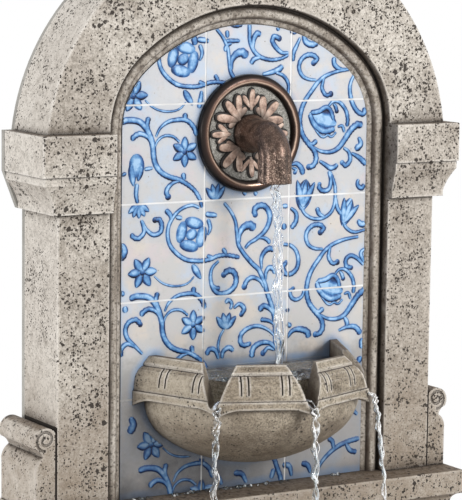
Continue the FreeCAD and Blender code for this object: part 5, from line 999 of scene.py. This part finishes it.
def build_spout():
    """Fluted spout in millimetres: tail, flared collar, smooth bend, fluted falling leg and hollow mouth."""
    bore_end, tail_y, root_y, neck_y, bend_y, fall_y, bend = 100, 118, 88, 70, 63, 39, 24
    bore, thread, barrel = 6.2, 9, 16.4
    top, mouth = MEDALLION_Z / MM, MEDALLION_Z / MM - 47
    flutes, flute_depth, sides = 7, 2.3, 112
    rings = []

    def ring(centre, normal, radius, fluting):
        points = []
        for index in range(sides):
            angle = 2 * math.pi * index / sides
            ridge = abs(math.cos(flutes * angle / 2)) ** 0.8 - 0.62
            reach = radius + flute_depth * fluting * ridge
            out = Vector((1, 0, 0)) * math.sin(angle) + normal * math.cos(angle)
            points.append((Vector(centre) + out * reach) * MM)
        rings.append(points)

    upwards, forwards = Vector((0, 0, 1)), Vector((0, -1, 0))
    for y, radius in ((bore_end, bore), (tail_y, bore), (tail_y, thread), (root_y, thread), (root_y, 20.2),
                      (root_y - 3, 20.0), (root_y - 6, 18.4), (root_y - 9, 17.0), (root_y - 12, 16.5),
                      (neck_y, barrel), (bend_y, barrel)):
        ring((0, y, top), upwards, radius, 0)
    turns, plain_turns, falls = 16, 4, 10
    for step in range(1, turns + 1):
        angle = math.pi / 2 * step / turns
        centre = (0, bend_y - bend * math.sin(angle), top - bend + bend * math.cos(angle))
        normal = Vector((0, -math.sin(angle), math.cos(angle)))
        ring(centre, normal, barrel, max(0.0, (step - plain_turns) / (turns - plain_turns)) * 0.75)
    for step in range(1, falls + 1):
        share = step / falls
        level = top - bend + (mouth - top + bend) * share
        ring((0, fall_y, level), forwards, barrel + 0.5 * share, 0.75 + 0.2 * share)
    for level, radius, fluting in ((mouth, 15.2, 0.9), (mouth + 0.6, 13.6, 0.6), (mouth + 4, 12, 0.2),
                                   (mouth + 16, 11.5, 0)):
        ring((0, fall_y, level), forwards, radius, fluting)
    piece = tube("fluted_spout", rings, SPOUT)
    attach(piece, "fountain")
    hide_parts("spout")


def strand(name, path, radius, swell, seed, turns, begin):
    """A falling strand of water: a tube that beads, and winds round its path so that strands form a chain."""
    rng = random.Random(seed)
    phases = [rng.uniform(0, 2 * math.pi) for _ in range(4)]
    sides, rings = 12, []
    for index, centre in enumerate(path):
        share = index / (len(path) - 1)
        beat = (math.sin(58 * share + phases[0]) + 0.6 * math.sin(97 * share + phases[1])) * swell
        size = radius * (1 + beat) * (0.55 if index in (0, len(path) - 1) else 1)
        angle = begin + 2 * math.pi * turns * share + 1.3 * math.sin(11 * share + phases[2])
        angle += 0.7 * math.sin(31 * share + phases[3])
        loose = 0.75 + 0.4 * math.sin(23 * share + phases[0])
        sway = Vector((math.cos(angle), 0.6 * math.sin(angle), 0)) * radius * loose
        points = []
        for side in range(sides):
            angle = 2 * math.pi * side / sides
            lobe = 1 + 0.18 * math.sin(2 * angle + 5 * share + phases[1])
            points.append(centre + sway + Vector((math.cos(angle), 0.7 * math.sin(angle), 0)) * size * lobe)
        rings.append(points)
    piece = tube(name, rings, STREAM)
    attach(piece, "fountain")


def fall(start, end, kick, steps=150):
    """Points of a thrown stream from start to end. kick is the share of the drop made at a steady speed."""
    path = []
    for index in range(steps + 1):
        share = index / steps
        across = Vector((end[0] - start[0], end[1] - start[1], 0)) * share
        drop = (end[2] - start[2]) * (kick * share + (1 - kick) * share ** 2)
        path.append(Vector(start) + across + Vector((0, 0, drop)))
    return path


def sides_of(outline):
    """Start and end of each side of a closed outline."""
    corners = [Vector(corner) for corner in outline]
    return list(zip(corners, corners[1:] + corners[:1]))


def middle_of(outline):
    return sum((Vector(corner) for corner in outline), Vector((0, 0))) / len(outline)


def pool(name, outline, level, drops, ripple):
    """A water surface inside an outline, ringed with ripples round the places where streams fall in."""
    shells, step, fade_length, calm_shells = 26, 0.006, 0.035, 3
    middle = middle_of(outline)
    edge = []
    for start, end in sides_of(outline):
        side = end - start
        pieces = max(1, round(side.length / step))
        edge += [start + side * index / pieces for index in range(pieces)]
    vertices, faces = [], []
    for shell in range(1, shells + 1):
        for corner in edge:
            spot = middle.lerp(corner, shell / shells)
            height = 0.0
            for drop, size in drops:
                distance = (spot - Vector(drop)).length
                height += size * math.cos(distance * ripple) * math.exp(-distance / fade_length)
            height *= min(1.0, (shells - shell) / calm_shells)
            vertices.append((spot[0], spot[1], level + height))
    count, hub = len(edge), len(vertices)
    vertices.append((middle[0], middle[1], level))
    for index in range(count):
        following = (index + 1) % count
        faces.append((hub, index, following))
        for shell in range(shells - 1):
            low, high = shell * count, (shell + 1) * count
            faces.append((low + index, high + index, high + following, low + following))
    piece = add_piece(name, skin(name, vertices, faces), POOL)
    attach(piece, "fountain")


def inside_outline(spot, outline, margin):
    """Whether a point lies inside a convex outline, at least a margin from its sides."""
    middle = middle_of(outline)
    for start, end in sides_of(outline):
        along = (end - start).normalized()
        inwards = Vector((-along[1], along[0]))
        if inwards @ (middle - start) < 0:
            inwards.negate()
        if inwards @ (spot - start) < margin:
            return False
    return True


def build_foam(name, spots, outline, level, count, spread):
    """Bubbles or drops scattered inside an outline, round the given places."""
    smallest, largest = 0.0009, 0.0026
    work = bmesh.new()
    for centre in spots:
        for _ in range(count):
            angle, distance = draw.uniform(0, 2 * math.pi), abs(draw.gauss(0, spread))
            size = draw.uniform(smallest, largest)
            spot = Vector(centre) + Vector((math.cos(angle), math.sin(angle))) * distance
            if inside_outline(spot, outline, 2 * size):
                place = Matrix.Translation((spot[0], spot[1], level + size * 0.2))
                bmesh.ops.create_icosphere(work, subdivisions=2, radius=size, matrix=place)
    mesh = bpy.data.meshes.new(name)
    work.to_mesh(mesh)
    work.free()
    piece = add_piece(name, mesh, STREAM)
    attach(piece, "fountain")


def build_spout_streams(bowl_hit):
    mouth_y, mouth_z = TILE_FACE - 0.056, MEDALLION_Z - 0.046
    strands = ((-0.0044, 0.0, 0.0018), (-0.0004, -0.0012, 0.0021), (0.0042, 0.0008, 0.0017))
    for index, (across, deep, size) in enumerate(strands):
        end = (across * 0.85, bowl_hit[1] + deep, BOWL_WATER - 0.001)
        path = fall((across, mouth_y + deep, mouth_z), end, kick=0.35)
        strand("spout_stream_%d" % (index + 1), path, size, swell=0.3, seed=20 + index, turns=5,
               begin=2 * math.pi * index / len(strands))


def build_lip_streams():
    """Two strands over each notch of the bowl. Gives the places where they fall into the basin."""
    notch_floor, inner_run, inner_rise, over_lip, approach_steps = LEDGE + 0.1065, 0.012, 0.006, 0.003, 8
    # Lips: place, direction outwards, and how far out the stream lands
    lips = (((0.0, TILE_FACE - 0.132), (0, -1), 0.012), ((-0.0905, TILE_FACE - 0.0985), (-0.7, -0.72), 0.012),
            ((0.0905, TILE_FACE - 0.0985), (0.7, -0.72), 0.027))
    twins = ((-0.0020, 0.0020), (0.0020, 0.0019))
    hits = []
    for index, ((x, y), (out_x, out_y), reach) in enumerate(lips):
        lip, out = Vector((x, y, notch_floor)), Vector((out_x, out_y, 0))
        hit = (x + out_x * reach, y + out_y * reach)
        hits.append(hit)
        for twin, (offset, size) in enumerate(twins):
            aside = Vector((-out_y * offset, out_x * offset, 0))
            inner = lip - out * inner_run + Vector((0, 0, inner_rise)) + aside
            brink = lip + out * over_lip + aside
            end = Vector((*hit, POOL_WATER - 0.001)) + aside * 0.3
            approach = [inner.lerp(brink, step / approach_steps) for step in range(approach_steps)]
            strand("lip_stream_%d_%d" % (index + 1, twin + 1), approach + fall(brink, end, kick=0.08), size,
                   swell=0.36, seed=40 + 3 * index + twin, turns=9, begin=math.pi * twin)
    return hits


def build_water():
    bowl_hit = (0.0, TILE_FACE - 0.0685)
    build_spout_streams(bowl_hit)
    hits = build_lip_streams()
    bowl = [(-0.108, TILE_FACE - 0.0005), (-0.0735, TILE_FACE - 0.079), (0.0, TILE_FACE - 0.1085),
            (0.0735, TILE_FACE - 0.079), (0.108, TILE_FACE - 0.0005)]
    notches = [(-0.068, TILE_FACE - 0.074), (0.0, TILE_FACE - 0.100), (0.068, TILE_FACE - 0.074)]
    drops = [(bowl_hit, 0.0040)] + [(notch, 0.0018) for notch in notches]
    pool("bowl_water", bowl, BOWL_WATER, drops, ripple=470.0)
    basin = [(-0.196, 0.045), (-0.196, -0.012), (-0.112, -0.12), (0.112, -0.12), (0.196, -0.012),
             (0.196, 0.045)]
    pool("basin_water", basin, POOL_WATER, [(hit, 0.0016) for hit in hits], ripple=420.0)
    build_foam("bowl_foam", [bowl_hit] * 3 + notches, bowl, BOWL_WATER, count=50, spread=0.012)
    build_foam("basin_foam", hits, basin, POOL_WATER, count=40, spread=0.010)
    strip = [(-0.145, TILE_FACE - 0.016), (0.145, TILE_FACE - 0.016), (0.145, TILE_FACE - 0.0005),
             (-0.145, TILE_FACE - 0.0005)]
    splashes = [(draw.uniform(-0.14, 0.14), TILE_FACE - 0.004) for _ in range(16)]
    build_foam("ledge_drops", splashes, strip, LEDGE, count=16, spread=0.006)


build_scrollwork()
build_leaves()
build_spout()
build_water()


# Stage: pale floor, white surround, soft light from the front right, the left side and the back


def seen_directly(tree):
    """1 for the camera and for what metal and water mirror or let through, 0 for light on matt faces."""
    path = tree.nodes.new("ShaderNodeLightPath")
    result = path.outputs["Is Camera Ray"]
    for name in ("Is Glossy Ray", "Is Transmission Ray"):
        higher = tree.nodes.new("ShaderNodeMath")
        higher.operation = "MAXIMUM"
        tree.links.new(result, higher.inputs[0])
        tree.links.new(path.outputs[name], higher.inputs[1])
        result = higher.outputs[0]
    return result


def build_floor():
    """A round floor that fades into the white surround."""
    sides, radius, fade_from, fade_to = 96, 1.0, 0.5, 0.95
    f = Finish("studio_floor", (236, 236, 236))
    f.coat((242, 242, 242), f.spread(f.noise(3, 2)))
    f.finish(0.9)
    glow = f.add("ShaderNodeEmission", {"Color": (1, 1, 1, 1), "Strength": 1.0}).outputs[0]
    distance = f.vector("LENGTH", f.place)["Value"]
    fade = f.product(f.span(distance, fade_from, fade_to), seen_directly(f.tree))
    blend = f.add("ShaderNodeMixShader", {0: fade, 1: f.shader.outputs[0], 2: glow}).outputs[0]
    f.feed(f.tree.nodes["Material Output"].inputs["Surface"], blend)
    edge = [(*(aim(360 * side / sides) * radius), 0) for side in range(sides)]
    floor = add_piece("floor", skin("floor", edge, [tuple(range(sides))]), f.material)


def build_surround():
    """White where it is seen, and dimmer as a light."""
    light_strength, seen_strength = 0.62, 1.0
    world = bpy.data.worlds.new("studio")
    bpy.context.scene.world = world
    world.use_nodes = True
    tree = world.node_tree
    background = tree.nodes["Background"]
    level = tree.nodes.new("ShaderNodeMapRange")
    level.inputs[3].default_value = light_strength
    level.inputs[4].default_value = seen_strength
    tree.links.new(seen_directly(tree), level.inputs[0])
    tree.links.new(level.outputs[0], background.inputs["Strength"])
    background.inputs["Color"].default_value = (1, 1, 1, 1)


def lamp(name, place, size, power, colour=(1, 1, 1)):
    """A soft square lamp that is aimed at the middle of the fountain."""
    target = Vector((0, 0, 0.5))
    light = bpy.data.lights.new(name, "AREA")
    light.size = size
    light.energy = power
    light.color = colour
    item = bpy.data.objects.new(name, light)
    item.location = place
    item.rotation_euler = (target - Vector(place)).to_track_quat("-Z", "Y").to_euler()
    bpy.context.scene.collection.objects.link(item)


def build_camera():
    """Camera solved from the photograph: 462 by 500 picture, no shift."""
    yaw, pitch, roll = math.radians(30.9), math.radians(7.42), math.radians(0.74)
    place, focal_pixels, picture_height = Vector((-1.27139, -2.00104, 0.83804)), 2377.87, 500
    forward = Vector((math.sin(yaw) * math.cos(pitch), math.cos(yaw) * math.cos(pitch), -math.sin(pitch)))
    level = Vector((math.cos(yaw), -math.sin(yaw), 0))
    above = level.cross(forward)
    right = level * math.cos(roll) + above * math.sin(roll)
    up = -level * math.sin(roll) + above * math.cos(roll)
    matrix = Matrix((right, up, -forward)).transposed().to_4x4()
    matrix.translation = place
    data = bpy.data.cameras.new("camera")
    data.sensor_width = 36
    data.lens = data.sensor_width * focal_pixels / picture_height
    camera = bpy.data.objects.new("camera", data)
    camera.matrix_world = matrix
    bpy.context.scene.collection.objects.link(camera)
    bpy.context.scene.camera = camera


build_floor()
build_surround()
lamp("key", (1.05, -2.25, 1.5), size=0.7, power=43, colour=(1.0, 0.985, 0.96))
lamp("side", (-2.5, -0.15, 0.8), size=1.0, power=23)
lamp("back", (0.6, 2.2, 1.8), size=1.4, power=22)
build_camera()
bpy.context.scene.view_settings.view_transform = "Standard"
